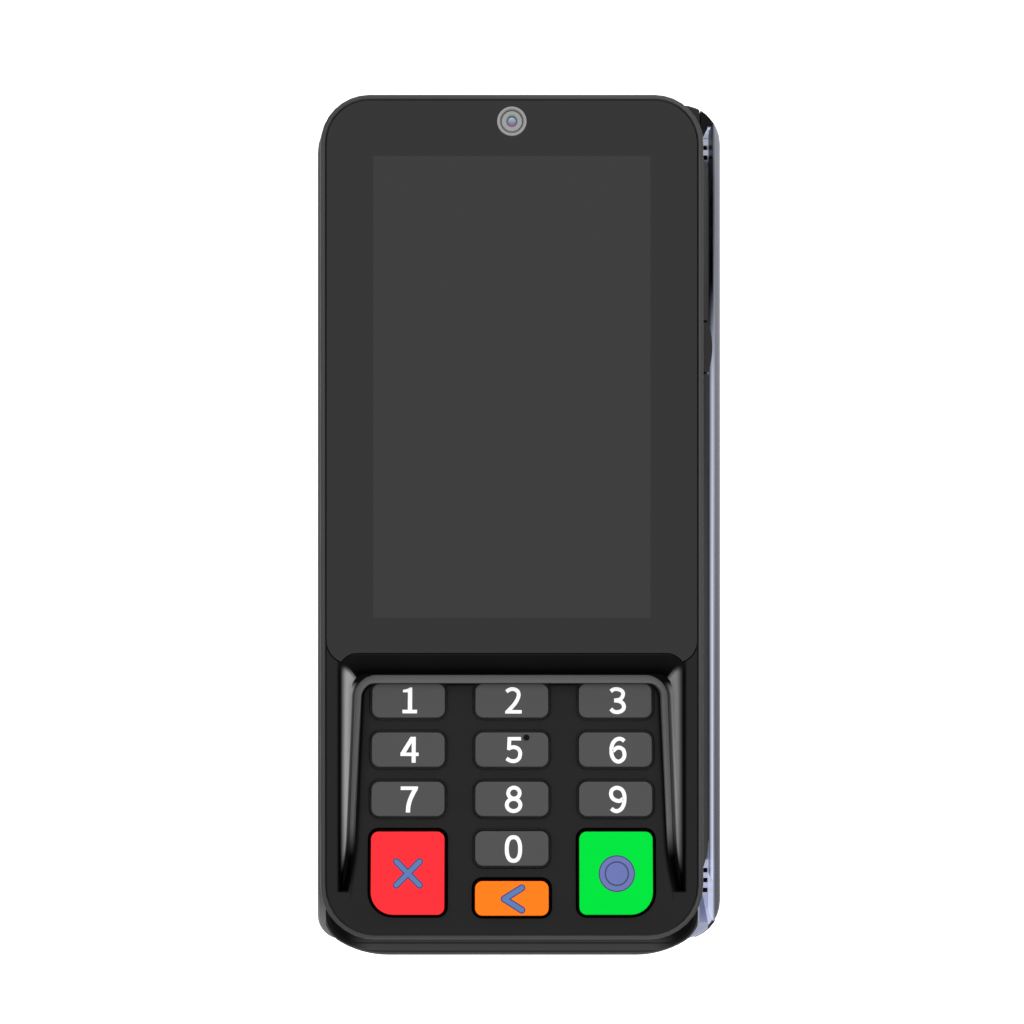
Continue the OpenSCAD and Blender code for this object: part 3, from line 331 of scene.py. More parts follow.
def guide_plastic(name):
    """Dark satin plastic of the swipe guide, with painted shade along its middle and near black
    painted shade along the slot's edge.
    """
    m, t = material(name)
    x, y, _ = t.place()
    _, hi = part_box("swipe_guide")
    edge = t.ramp(x, hi.x - 0.75 * MM, hi.x - 0.2 * MM)
    # painted shade: darker along the middle, near black by the slot's edge
    middle = t.inside(y, MIDDLE.y + 5 * MM, MIDDLE.y + 45 * MM, 20 * MM)
    base = t.mix(middle, tone(64), tone(46))
    base = t.mix(edge, base, tone(12))
    base = t.mix(t.noise(7 * MM, 4), base, t.mix(0.12, base, BLACK))
    gloss = t.uneven(16 * MM, 2, 0.42, 0.52)
    skin = t.grain()
    t.surface(Base_Color=base, Roughness=gloss, Normal=skin, IOR=1.5, Specular_IOR_Level=0.08)
    return m


def rubber(name, colour, rough=0.75):
    """Soft, mottled rubber with a coarse skin."""
    m, t = material(name)
    base = t.mix(t.noise(2 * MM, 4), shade(colour, 0.85), shade(colour, 1.2))
    skin = t.bump(t.noise(0.2 * MM, 3), 0.5, 0.01 * MM)
    gloss = t.uneven(4 * MM, 2, rough - 0.08, rough + 0.08)
    t.surface(Base_Color=base, Roughness=gloss, Normal=skin, IOR=1.52)
    return m


def metal(name, colour, rough, brushed=(1, 40, 40)):
    """Bare metal with fine streaks along X, or along the axis whose stretch is least."""
    m, t = material(name)
    lines = t.noise(4 * MM, 4, 0.6, brushed)
    base = t.mix(lines, shade(colour, 0.86), shade(colour, 1.08))
    gloss = t.ramp(lines, 0.25, 0.75, rough - 0.08, rough + 0.1)
    skin = t.bump(lines, 0.15, 0.01 * MM)
    t.surface(Base_Color=base, Metallic=1.0, Roughness=gloss, Normal=skin)
    return m


def silver_paint(name):
    """Satin lavender-silver lacquer with fine metal flakes, and painted shade greying the housing's
    ledge.
    """
    m, t = material(name)
    x, y, z = t.place()
    flakes = t.node("ShaderNodeTexVoronoi")
    t.link(t.coordinates(), flakes.inputs["Vector"])
    flakes.inputs["Scale"].default_value = 1 / (0.09 * MM)
    glint = t.node("ShaderNodeSeparateColor")
    t.link(flakes.outputs["Color"], glint.inputs[0])
    base = t.mix(glint.outputs[0], tone(*LAVENDER), tone(184, 189, 217))
    # painted shade: the ledge by the frame greyed, paler towards the low end and near black by the
    # upper corner
    top = hi_of("rear_housing").z
    by_mouth = t.product(t.ramp(x, MIDDLE.x + 25 * MM, MIDDLE.x + 28 * MM),
                         t.ramp(y, MIDDLE.y - 68 * MM, MIDDLE.y - 71 * MM))
    ledge = t.math("SUBTRACT", t.ramp(z, top - 0.9 * MM, top - 0.7 * MM), by_mouth, clamp=True)
    corner = t.product(t.ramp(x, MIDDLE.x + 29 * MM, MIDDLE.x + 31 * MM),
                       t.ramp(y, MIDDLE.y + 70 * MM, MIDDLE.y + 72 * MM))
    low = t.ramp(y, MIDDLE.y - 70 * MM, MIDDLE.y - 78 * MM)
    grey = t.mix(low, tone(80, 80, 83), tone(128, 128, 131))
    base = t.mix(ledge, base, t.mix(corner, grey, tone(26)))
    gloss = t.uneven(14 * MM, 3, 0.36, 0.44)
    skin = t.grain(0.25 * MM, 0.35, 0.003 * MM)
    t.surface(Base_Color=base, Metallic=0.15, Roughness=gloss, Normal=skin,
              Coat_Weight=0.15, Coat_Roughness=0.3, Specular_IOR_Level=0.2)
    return m


def rail_paint(name):
    """The same lacquer on the swipe rail, with painted shade greying its crest and painted light
    and shade inside the slot.
    """
    m, t = material(name)
    x, y, z = t.place()
    nx, _, nz = t.facing()
    lo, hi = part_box("swipe_rail")
    guide_lo, guide_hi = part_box("swipe_guide")
    flakes = t.noise(0.12 * MM, 2)
    lavender = t.mix(flakes, tone(*LAVENDER), tone(186, 191, 219))
    # painted shade greys the crest, less towards its upper end, and its inner slope too by the
    # lower mouth
    low_end = t.ramp(y, MIDDLE.y - 64 * MM, MIDDLE.y - 71 * MM)
    along = t.ramp(y, lo.y, hi.y, smooth=False)
    edge = t.mix(along, tone(98, 99, 105), tone(153, 154, 161))
    above = t.ramp(z, hi.z - 3.2 * MM, hi.z - 2.2 * MM)
    outer = t.ramp(x, hi.x - 1.75 * MM, hi.x - 1.6 * MM)
    up = t.product(low_end, t.ramp(nz, 0.05, 0.12))
    up = t.math("MAXIMUM", t.ramp(nz, 0.25, 0.6), up)
    base = t.mix(t.product(above, outer, up), lavender, edge)
    # painted shade: a dark edge round the low corner
    dx = t.math("SUBTRACT", x, MIDDLE.x + 33.5 * MM)
    dy = t.math("SUBTRACT", y, MIDDLE.y - 75.5 * MM)
    far = t.length(dx, dy)
    corner = t.product(t.ramp(far, 6.75 * MM, 7.05 * MM), t.ramp(dy, 0.5 * MM, -1.5 * MM),
                       t.ramp(dx, 0.0, 2 * MM))
    base = t.mix(corner, base, tone(50))
    # painted shade on the inner wall by the upper mouth, near black in the pockets
    inner = t.ramp(nx, -0.5, -0.9)
    light = wall_light(t, y)
    below_lead = t.ramp(z, hi.z - 1.4 * MM, hi.z - 1.6 * MM)
    upper_half = t.ramp(y, MIDDLE.y, MIDDLE.y + 20 * MM)
    base = t.mix(t.product(inner, t.without(light), below_lead, upper_half), base, tone(14))
    pocket = t.product(t.ramp(z, SLOT_FLOOR - 0.3 * MM, SLOT_FLOOR - 0.5 * MM),
                       t.ramp(nz, -0.3, -0.1),
                       t.ramp(x, MIDDLE.x + 38.6 * MM, MIDDLE.x + 38.5 * MM))
    base = t.mix(pocket, base, tone(4))
    level = t.product(t.ramp(nz, 0.85, 0.97),
                      t.inside(z, SLOT_FLOOR - 0.3 * MM, SLOT_FLOOR + 0.3 * MM, 0.1 * MM))
    # painted shade on the slot's floor past the upper mouth
    shade_past_mouth = t.product(level, t.ramp(y, MIDDLE.y + 76.2 * MM, MIDDLE.y + 76.7 * MM))
    base = t.mix(shade_past_mouth, base, tone(20))
    # painted light: a glow on the inner wall and on the floor at both mouths
    mouth = t.math("MAXIMUM", t.ramp(y, guide_lo.y - 0.2 * MM, guide_lo.y - 0.8 * MM),
                   t.ramp(y, guide_hi.y + 1.0 * MM, guide_hi.y + 2.5 * MM))
    bright = t.ramp(y, guide_lo.y - 8 * MM, guide_lo.y - 5 * MM, 0.42, 0.72)
    lit = t.product(mouth, level, bright)
    light = t.product(light, t.ramp(y, MIDDLE.y - 10 * MM, MIDDLE.y + 20 * MM, 1.0, 1.45))
    top_light = t.product(t.ramp(y, MIDDLE.y - 60 * MM, MIDDLE.y + 10 * MM, 0.2, 0.55),
                          t.ramp(y, MIDDLE.y + 60 * MM, MIDDLE.y + 35 * MM, 0.45, 1.0))
    rise = t.ramp(z, hi.z - 1.7 * MM, hi.z - 0.1 * MM)
    light = t.math("MULTIPLY_ADD", t.math("SUBTRACT", top_light, light), rise, light)
    light = t.product(light, inner)
    lit = t.math("MAXIMUM", lit, light)
    for mask in (corner, pocket, shade_past_mouth):
        lit = t.product(lit, t.without(mask))
    glow = t.mix(lit, BLACK, SLOT_GLOW_TINT)
    gloss = t.uneven(14 * MM, 3, 0.36, 0.44)
    skin = t.grain(0.25 * MM, 0.35, 0.003 * MM)
    t.surface(Base_Color=base, Metallic=0.1, Roughness=gloss, Normal=skin,
              Specular_IOR_Level=0.15, Emission_Color=glow, Emission_Strength=0.75)
    return m


def wall_light(t, y):
    """How much painted light the slot's far wall shows: none at the upper mouth, where it is left
    in painted shade, full below the head.
    """
    rise = t.ramp(y, MIDDLE.y + 46 * MM, MIDDLE.y + 23 * MM)
    return t.product(rise, t.ramp(y, MIDDLE.y - 20 * MM, MIDDLE.y + 26 * MM, 1.0, 0.78))


def liner_plastic(name):
    """Pale wear strip on the slot's far wall, with painted shade darkening it towards the upper
    mouth and a painted glow where it is lit.
    """
    m, t = material(name)
    _, y, z = t.place()
    lo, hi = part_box("swipe_liner")
    height = t.ramp(z, lo.z, hi.z)
    lit = t.product(wall_light(t, y), height)
    scuffs = t.noise(3 * MM, 4, 0.6, (1, 0.05, 1))
    pale = t.mix(scuffs, tone(190, 196, 220), tone(206, 212, 236))
    # painted shade towards the upper mouth, and a painted glow standing in for the slot's light
    base = t.mix(wall_light(t, y), tone(14), pale)
    glow = t.mix(lit, BLACK, SLOT_GLOW_TINT)
    t.surface(Base_Color=base, Roughness=t.ramp(scuffs, 0.3, 0.7, 0.35, 0.5), IOR=1.5,
              Specular_IOR_Level=0.1, Emission_Color=glow, Emission_Strength=1.03)
    return m


def pad_plastic(name):
    """Near-black plastic of the swipe pad, whose low step is painted lavender with a painted glow
    standing in for the slot's light.
    """
    m, t = material(name)
    _, y, z = t.place()
    _, _, nz = t.facing()
    step = t.product(t.ramp(z, SLOT_FLOOR + 1.0 * MM, SLOT_FLOOR + 0.6 * MM),
                     t.ramp(nz, 0.85, 0.97),
                     t.ramp(y, MIDDLE.y + 76.7 * MM, MIDDLE.y + 76.2 * MM))
    base = t.mix(t.noise(7 * MM, 4), tone(12), tone(16))
    # painted light: the low step lavender and glowing
    base = t.mix(step, base, tone(*LAVENDER))
    glow = t.mix(step, BLACK, SLOT_GLOW_TINT)
    gloss = t.uneven(9 * MM, 2, 0.45, 0.55)
    skin = t.grain()
    t.surface(Base_Color=base, Roughness=gloss, Normal=skin, IOR=1.5,
              Specular_IOR_Level=0.08, Emission_Color=glow, Emission_Strength=0.4)
    return m


def cover_glass(name):
    """Black-backed cover glass whose display window shows a shade lighter."""
    m, t = material(name)
    x, y, _ = t.place()
    across = t.inside(x, WINDOW[0], WINDOW[1], 0.03 * MM)
    along = t.inside(y, WINDOW[2], WINDOW[3], 0.03 * MM)
    lit = t.product(across, along)
    pixels = t.noise(0.1 * MM, 1)
    screen = t.mix(pixels, (0.0085, 0.0085, 0.0085), (0.0095, 0.0095, 0.0095))
    base = t.mix(lit, (0.0006, 0.0006, 0.0006), screen)
    smear = t.ramp(t.noise(20 * MM, 3), 0.35, 0.75, 0.035, 0.075)
    t.surface(Base_Color=base, Roughness=smear, IOR=1.5, Specular_IOR_Level=0.5)
    return m


def lip_distance(t, x, y):
    """How far a point lies outside the bay's lip, and how far below the lip's top."""
    inner = t.apart(x, MIDDLE.x - 0.16 * MM)
    drop = t.math("SUBTRACT", BAY["lip"], y)
    bend = t.math("MAXIMUM", t.math("SUBTRACT", drop, 30.1 * MM), 0.0)
    bend = t.product(bend, bend, 12.0)
    foot = t.math("ADD", t.math("MULTIPLY_ADD", drop, 0.0304, 29.484 * MM), bend)
    qx = t.math("ADD", t.math("SUBTRACT", inner, foot), 4 * MM)
    qy = t.math("SUBTRACT", 4 * MM, drop)
    px, py = (t.math("MAXIMUM", q, 0.0) for q in (qx, qy))
    past = t.length(px, py)
    short = t.math("MINIMUM", t.math("MAXIMUM", qx, qy), 0.0)
    return t.math("SUBTRACT", t.math("ADD", past, short), 4 * MM), drop


def panel_black(name):
    """Keypad panel: black face and floor, painted shade in the bay, a grey lip of painted
    reflection and pale walls of painted light beside the bay.
    """
    m, t = material(name)
    x, y, _ = t.place()
    nx, ny, nz = t.facing()
    off = t.apart(x, MIDDLE.x)
    side = t.side(x, MIDDLE.x)
    right = t.ramp(side, -1, 1)
    outward = t.product(nx, side)
    in_from_edge = t.math("SUBTRACT", BAY["half"], off)
    below_edge = t.math("SUBTRACT", BAY["top"], y)
    dist, drop = lip_distance(t, x, y)
    fade = t.ramp(y, MIDDLE.y - 64 * MM, MIDDLE.y - 57 * MM)
    down = t.ramp(y, MIDDLE.y - 31 * MM, MIDDLE.y - 33 * MM)
    # painted shade on the bay's walls, valley and lip
    width = t.math("MULTIPLY_ADD", drop, -0.009, 1.42 * MM)
    in_lip = t.math("ADD", dist, width)
    near = t.product(t.ramp(in_lip, -0.9 * MM, -0.15 * MM),
                     t.ramp(y, MIDDLE.y - 70.4 * MM, MIDDLE.y - 70 * MM))
    inside = t.product(t.ramp(in_from_edge, -0.35 * MM, 0.35 * MM),
                       t.ramp(below_edge, -0.2 * MM, 0.7 * MM))
    tilt = t.math("MAXIMUM", t.ramp(nz, 0.985, 0.95), t.ramp(outward, -0.10, -0.25))
    dark = t.product(inside, t.math("MAXIMUM", near, tilt))
    shadow = t.mix(t.ramp(below_edge, 0.6 * MM, 4.4 * MM), (0.0045,) * 3, (0.0004,) * 3)
    face = t.mix(t.noise(7 * MM, 4), (0.0136,) * 3, (0.0150,) * 3)
    base = t.mix(dark, face, shadow)
    # lip: a painted reflection makes it grey, with painted light brighter down its slopes, fading
    # towards its bent ends
    lip = t.product(t.ramp(in_lip, -0.1 * MM, 0.1 * MM), t.ramp(dist, 0.12 * MM, -0.12 * MM), fade)
    slope = t.math("MAXIMUM", t.ramp(outward, 0.2, 0.5), t.ramp(ny, 0.2, 0.5))
    crest, foot, lit_side_of_lip = (shade(tone(87), k) for k in (1.05, 1.5, 1.78))
    lip_base = t.mix(t.ramp(dist, -0.6 * MM, -0.3 * MM), crest, foot)
    base = t.mix(lip, base, t.mix(slope, lip_base, lit_side_of_lip))
    # painted light: a lighter grey low in the valley
    lit_dip = t.product(t.ramp(dist, 0.0, 0.15 * MM), t.ramp(in_from_edge, 1.0 * MM, 1.4 * MM),
                    down, fade)
    base = t.mix(lit_dip, base, shade(tone(57), 1.5))
    # painted reflection: pale walls under a black band of painted shade along the bay's edge, with
    # rounded upper ends, paler on the left
    high = t.ramp(side, -1, 1, 1.62 * MM, 1.88 * MM)
    mid = t.math("MULTIPLY_ADD", drop, 0.007, t.ramp(side, -1, 1, 0.42 * MM, 0.54 * MM))
    slant = t.math("SUBTRACT", below_edge, t.product(in_from_edge, 1.19))
    wall = t.product(
        t.ramp(in_from_edge, 0.42 * MM, high),
        t.ramp(t.math("SUBTRACT", dist, mid), -0.22 * MM, 0.22 * MM),
        t.ramp(below_edge, 2.1 * MM, 4.2 * MM),
        t.ramp(slant, 0.1 * MM, 1.9 * MM),
        t.math("MAXIMUM", t.ramp(outward, -0.40, -0.62), down),
        t.ramp(y, BAY["low"] + 2.0 * MM, BAY["low"] + 7.8 * MM),
    )
    base = t.mix(wall, base, t.mix(right, (0.28,) * 3, (0.175,) * 3))
    # painted light: a faint glow on the pale walls, stronger lower down and on the left
    glow = t.ramp(y, MIDDLE.y - 35 * MM, MIDDLE.y - 58 * MM, 0.04, 0.18)
    glow = t.product(glow, wall, t.ramp(side, -1, 1, 1.0, 0.6))
    gloss = t.uneven(16 * MM, 2, 0.36, 0.44)
    skin = t.grain(0.12 * MM, 0.5, 0.003 * MM)
    t.surface(Base_Color=base, Roughness=gloss, Normal=skin, IOR=1.45, Specular_IOR_Level=0.05,
              Emission_Color=WHITE, Emission_Strength=glow)
    return m


def camera_trim(name):
    """Satin grey camera ring with a darker groove between it and its disc."""
    m, t = material(name)
    x, y, _ = t.place()
    lo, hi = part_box("camera_ring")
    dx = t.math("SUBTRACT", x, (lo.x + hi.x) / 2)
    dy = t.math("SUBTRACT", y, (lo.y + hi.y) / 2)
    far = t.length(dx, dy)
    radius = (hi.x - lo.x) / 2
    groove = t.inside(far, radius * 0.70, radius * 0.80, 0.08 * MM)
    base = t.mix(t.noise(0.5 * MM, 3), tone(146), tone(158))
    base = t.mix(groove, base, tone(92))
    base = t.mix(t.ramp(far, 1.2 * MM, 0.9 * MM), base, tone(95, 90, 88))
    gloss = t.uneven(1 * MM, 3, 0.38, 0.48)
    t.surface(Base_Color=base, Metallic=0.1, Roughness=gloss, Specular_IOR_Level=0.2)
    return m


def lens_glass(name):
    """Coated lens with a painted reflection: a cyan-blue bloom over its upper half and a magenta
    one below.
    """
    m, t = material(name)
    _, y, _ = t.place()
    lo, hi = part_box("camera_lens")
    up = t.ramp(y, lo.y + 0.3 * MM, hi.y - 0.3 * MM)
    base = t.mix(up, (0.20, 0.06, 0.20), (0.10, 0.30, 0.42))
    t.surface(Base_Color=base, Roughness=t.uneven(1 * MM, 3, 0.05, 0.08), IOR=1.6,
              Coat_Weight=1.0)
    return m


def circuit_board(name):
    """Green lacquer over copper tracks."""
    m, t = material(name)
    bricks = t.node("ShaderNodeTexBrick")
    bricks.inputs["Scale"].default_value = 1 / (6 * MM)
    bricks.inputs["Mortar Size"].default_value = 0.03
    for socket, colour in (("Color1", BLACK), ("Color2", BLACK), ("Mortar", WHITE)):
        t.feed(bricks.inputs[socket], colour)
    t.link(t.coordinates(), bricks.inputs["Vector"])
    base = t.mix(bricks.outputs["Color"], (0.015, 0.10, 0.04), (0.03, 0.20, 0.08))
    t.surface(Base_Color=base, Roughness=t.uneven(5 * MM, 3, 0.25, 0.4), IOR=1.5)
    return m


def plain_floor(name):
    """Matt near-white, lit a little from within so that it stays even."""
    m, t = material(name)
    base = t.mix(t.noise(0.4, 2), (0.86,) * 3, (0.88,) * 3)
    t.surface(Base_Color=base, Roughness=0.9, Specular_IOR_Level=0.0,
              Emission_Color=WHITE, Emission_Strength=0.62)
    return m


# ---- legends ----

LEGEND = {
    "key_1": [("fill", 0, [(-0.21, 0.396), (-0.017, 0.449), (0.059, 0.491), (0.141, 0.491),
                           (0.141, -0.35), (-0.023, -0.35), (-0.023, 0.308), (-0.21, 0.308)]),
              ("fill", 0, [(-0.226, -0.351), (0.328, -0.351), (0.328, -0.487), (-0.226, -0.487)])],
    "key_2": [("line", 0.145, [(-0.205, 0.331), (-0.106, 0.403), (0.019, 0.434), (0.148, 0.403),
                               (0.239, 0.32), (0.259, 0.206), (0.223, 0.066), (0.133, -0.093),
                               (0.008, -0.244), (-0.155, -0.411)]),
              ("fill", 0, [(-0.254, -0.415), (-0.185, -0.343), (-0.117, -0.362), (0.376, -0.362),
                           (0.376, -0.495), (-0.254, -0.495)])],
    "key_3": [("line", 0.145, [(-0.169, 0.347), (-0.074, 0.411), (0.044, 0.434), (0.184, 0.403),
                               (0.278, 0.331), (0.301, 0.237), (0.256, 0.112), (0.146, 0.028),
                               (-0.04, 0.002)]),
              ("line", 0.148, [(-0.04, 0.002), (0.146, -0.021), (0.275, -0.1), (0.331, -0.229),
                               (0.29, -0.35), (0.176, -0.422), (0.055, -0.441), (-0.07, -0.411),
                               (-0.172, -0.32)])],
    "key_4": [("fill", 0, [(0.132, 0.482), (0.285, 0.482), (0.285, -0.497), (0.132, -0.497)]),
              ("fill", 0, [(-0.294, -0.114), (0.396, -0.114), (0.396, -0.243), (-0.294, -0.243)]),
              ("fill", 0, [(0.09, 0.482), (0.216, 0.482), (0.124, 0.238), (-0.104, -0.136),
                           (-0.294, -0.136)])],
    "key_5": [("fill", 0, [(-0.16, 0.474), (0.349, 0.474), (0.349, 0.344), (-0.163, 0.344)]),
              ("fill", 0, [(-0.16, 0.474), (-0.017, 0.474), (-0.036, 0.062), (-0.083, -0.023),
                           (-0.182, -0.008)]),
              ("line", 0.145, [(-0.133, 0.03), (-0.034, 0.076), (0.083, 0.091), (0.223, 0.042),
                               (0.303, -0.064), (0.314, -0.186), (0.277, -0.318), (0.182, -0.409),
                               (0.061, -0.436), (-0.072, -0.413), (-0.201, -0.333)])],
    "key_6": [("line", 0.148, [(0.335, 0.318), (0.252, 0.386), (0.146, 0.409), (0.017, 0.367),
                               (-0.093, 0.246), (-0.146, 0.091), (-0.153, -0.068), (-0.131, -0.235),
                               (-0.04, -0.386), (0.104, -0.455), (0.248, -0.394), (0.331, -0.269),
                               (0.335, -0.129), (0.286, 0), (0.161, 0.072), (0.032, 0.053),
                               (-0.097, -0.057)])],
    "key_7": [("fill", 0, [(-0.275, 0.468), (0.377, 0.468), (0.377, 0.386), (0.335, 0.335),
                           (-0.275, 0.335)]),
              ("line", 0.162, [(0.294, 0.392), (0.218, 0.259), (0.142, 0.108), (0.078, -0.044),
                               (0.032, -0.195), (0.009, -0.35), (0.002, -0.509)])],
    "key_8": [("ring", 0.145, [(0.08, 0.218), (0.216, 0.205), (2, 0)]),
              ("ring", 0.148, [(0.066, -0.227), (0.256, 0.229), (2, 0)])],
    "key_9": [("line", 0.148, [(0.271, 0.009), (0.165, -0.07), (0.044, -0.066), (-0.093, 0.002),
                               (-0.169, 0.127), (-0.169, 0.263), (-0.104, 0.366), (0.047, 0.419),
                               (0.195, 0.373), (0.29, 0.263), (0.331, 0.104), (0.328, -0.07),
                               (0.29, -0.237), (0.203, -0.381), (0.059, -0.456), (-0.066, -0.437),
                               (-0.169, -0.362)])],
    "key_0": [("ring", 0.151, [(0.061, -0.019), (0.252, 0.441), (2.35, 0)])],
    "key_cancel": [("cap", 0.178, [(-0.426, 0.426), (0.453, -0.453)]),
                   ("cap", 0.178, [(0.453, 0.426), (-0.426, -0.453)])],
    "key_back": [("cap", 0.186, [(0.375, 0.386), (-0.288, -0.023), (0.375, -0.436)])],
    "key_ok": [("disc", 0, [(0.028, -0.023), (0.644, 0.644)])],
}
CAP = 4.96 * MM          # height of a digit
INK_ROOT = -0.03 * MM    # a mark starts this far inside its key
INK_LIFT = 0.012 * MM    # and ends this far above the key's face
INK_STEP = 0.002 * MM    # each further mark of one legend ends this much higher
EDGE_LIFT = 0.004 * MM   # top of the darker outline under a symbol
EDGE_GROW = 0.045        # its width past the symbol, in digit heights
OK_RING = (0.462, 0.41)  # radii of the ring on the OK key, in digit heights
DOT_5 = ((0.553, 0.455), 0.114, 0.09 * MM)   # middle, radius and height of key 5's dot


def spline(points, per=8):
    """Points on a smooth curve through the given ones."""
    ends = [points[0]] + list(points) + [points[-1]]
    out = []
    for i in range(1, len(ends) - 2):
        p0, p1, p2, p3 = (Vector(p) for p in ends[i - 1 : i + 3])
        for k in range(per):
            s = k / per
            out.append(
                0.5 * (2 * p1 + (p2 - p0) * s + (2 * p0 - 5 * p1 + 4 * p2 - p3) * s * s
                       + (3 * p1 - p0 - 3 * p2 + p3) * s ** 3)
            )
    return out + [Vector(points[-1])]


def ribbon(points, width):
    """Left and right edges of a stroke of that width along the points."""
    left, right = [], []
    for i, p in enumerate(points):
        a = points[max(i - 1, 0)]
        b = points[min(i + 1, len(points) - 1)]
        d = (b - a).normalized()
        n = Vector((-d.y, d.x)) * width / 2
        left.append(p + n)
        right.append(p - n)
    return left + right[::-1]


def circle(centre, rx, ry, count=64, power=2.0):
    """Points round an ellipse, or round a squarer oval where power is above 2."""
    out = []
    for i in range(count):
        a = 2 * math.pi * i / count
        c, s = math.cos(a), math.sin(a)
        x = rx * math.copysign(abs(c) ** (2 / power), c)
        y = ry * math.copysign(abs(s) ** (2 / power), s)
        out.append(Vector((centre[0] + x, centre[1] + y)))
    return out


def outlines(kind, width, points):
    """Outlines that make up one mark of a legend, as (outer, inner); inner is None for a filled
    mark and "ribbon" for a stroke, whose edges run out and back."""
    if kind == "fill":
        return [([Vector(p) for p in points], None)]
    if kind == "line":
        return [(ribbon(spline(points), width), "ribbon")]
    if kind == "cap":
        marks = []
        for a, b in zip(points, points[1:]):
            a, b = Vector(a), Vector(b)
            marks.append((ribbon([a, b], width), None))
            marks.append((circle(a, width / 2, width / 2, 24), None))
        marks.append((circle(points[-1], width / 2, width / 2, 24), None))
        return marks
    centre, (rx, ry) = points[0], points[1]
    if kind == "disc":
        return [(circle(centre, rx, ry), None)]
    power = points[2][0]
    outer = circle(centre, rx + width / 2, ry + width / 2, power=power)
    return [(outer, circle(centre, rx - width / 2, ry - width / 2, power=power))]


class KeyTop:
    """Plane of one key's pressed face, and where a point of its legend lies."""

    def __init__(self, node):
        joint = JOINTS[node + "_body"]
        self.normal = -Vector(joint["axis"]).normalized()
        self.u = Vector((1, 0, 0))
        self.v = self.normal.cross(self.u)
        points = [v.co for v in NODES[node].data.vertices]
        self.height = max(p.dot(self.normal) for p in points)
        top = [p for p in points if p.dot(self.normal) > self.height - 0.02 * MM]
        us = [p.dot(self.u) for p in top]
        vs = [p.dot(self.v) for p in top]
        self.mid = ((min(us) + max(us)) / 2, (min(vs) + max(vs)) / 2)

    def at(self, x, y, lift):
        """World place of (x, y), in digit heights from the middle, lifted off the face."""
        return (
            self.u * (self.mid[0] + x * CAP)
            + self.v * (self.mid[1] + y * CAP)
            + self.normal * (self.height + lift)
        )


def add_prism(bm, top, outer, inner, low, high):
    """Flat prism over an outline, over a ribbon, or over the band between two outlines."""
    rings = []
    for line in (outer, inner):
        if line and line != "ribbon":
            rings.append([[bm.verts.new(top.at(p[0], p[1], h)) for p in line] for h in (low, high)])
    for base, cap in rings:
        for i in range(len(base)):
            j = (i + 1) % len(base)
            bm.faces.new((base[i], base[j], cap[j], cap[i]))
    if inner == "ribbon":
        base, cap = rings[0]
        last = len(cap) - 1
        for i in range(len(cap) // 2 - 1):
            j = last - i
            bm.faces.new((cap[i], cap[i + 1], cap[j - 1], cap[j]))
            bm.faces.new((base[j], base[j - 1], base[i + 1], base[i]))
    elif inner:
        (b0, c0), (b1, c1) = rings
        for i in range(len(c0)):
            j = (i + 1) % len(c0)
            bm.faces.new((c0[i], c0[j], c1[j], c1[i]))
            bm.faces.new((b0[j], b0[i], b1[i], b1[j]))
    else:
        base, cap = rings[0]
        bm.faces.new(cap)
        bm.faces.new(base[::-1])


def finish_mesh(name, bm, mat, body):
    """A flat-shaded piece that rides on a body."""
    bmesh.ops.recalc_face_normals(bm, faces=bm.faces)
    mesh = bpy.data.meshes.new(name)
    bm.to_mesh(mesh)
    bm.free()
    obj = bpy.data.objects.new(name, mesh)
    scene.collection.objects.link(obj)
    mesh.materials.append(mat)
    for p in mesh.polygons:
        p.use_smooth = False
    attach(obj, body)
    return obj


def add_legend(node, ink, edge_ink):
    """Printed marks on one key, the coloured keys' with a darker outline under them."""
    top = KeyTop(node)
    layers = [(ink, 0.0, INK_LIFT)]
    if node in SYMBOL_INK:
        layers.insert(0, (edge_ink, EDGE_GROW, EDGE_LIFT))
    for number, (mat, grow, lift) in enumerate(layers):
        bm = bmesh.new()
        step = 0
        for kind, width, points in LEGEND[node]:
            if kind == "disc":
                points = [points[0], (points[1][0] + grow, points[1][1] + grow)]
            for outer, inner in outlines(kind, width + 2 * grow, points):
                add_prism(bm, top, outer, inner, INK_ROOT, lift + step * INK_STEP)
                step += 1
        finish_mesh(f"legend_{node}_{number}", bm, mat, node + "_body")
    if node == "key_ok":
        bm = bmesh.new()
        centre = LEGEND[node][0][2][0]
        outer, inner = (circle(centre, radius, radius) for radius in OK_RING)
        add_prism(bm, top, outer, inner, INK_ROOT, 0.02 * MM)
        finish_mesh("legend_key_ok_ring", bm, edge_ink, "key_ok_body")
    if node == "key_5":
        bm = bmesh.new()
        centre, radius, height = DOT_5
        add_prism(bm, top, circle(centre, radius, radius, 32), None, INK_ROOT, height)
        finish_mesh("dot_key_5", bm, DOT, "key_5_body")


# ---- pockets ----

# each pocket's black bottom is a plate of painted shade
POCKET = Vector((2.13, 0.84, 0.2)) * MM      # size of a pocket's black bottom
POCKET_X = 36.35 * MM                        # its near side, from the middle
POCKET_DROP = 1.25 * MM                      # its underside, below the slot's floor
ABOVE_GUIDE = (3.95 * MM, 2.0 * MM)          # the pockets' middles past the guide's two ends
BELOW_GUIDE = (-2.6 * MM, -4.55 * MM, -6.5 * MM)


def add_pocket_shades():
    """Black plates of painted shade at the bottoms of the slot's grit pockets, which break out
    under the rail's rounded foot.
    """
    lo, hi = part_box("swipe_guide")
    places = [hi.y + d for d in ABOVE_GUIDE] + [lo.y + d for d in BELOW_GUIDE]
    for i, y in enumerate(places):
        bm = bmesh.new()
        bmesh.ops.create_cube(bm, size=1)
        low = Vector((MIDDLE.x + POCKET_X, y - POCKET.y / 2, SLOT_FLOOR - POCKET_DROP))
        for v in bm.verts:
            v.co = low + Vector(POCKET[k] * (v.co[k] + 0.5) for k in range(3))
        finish_mesh(f"pocket_shade_{i}", bm, DOT, "terminal")


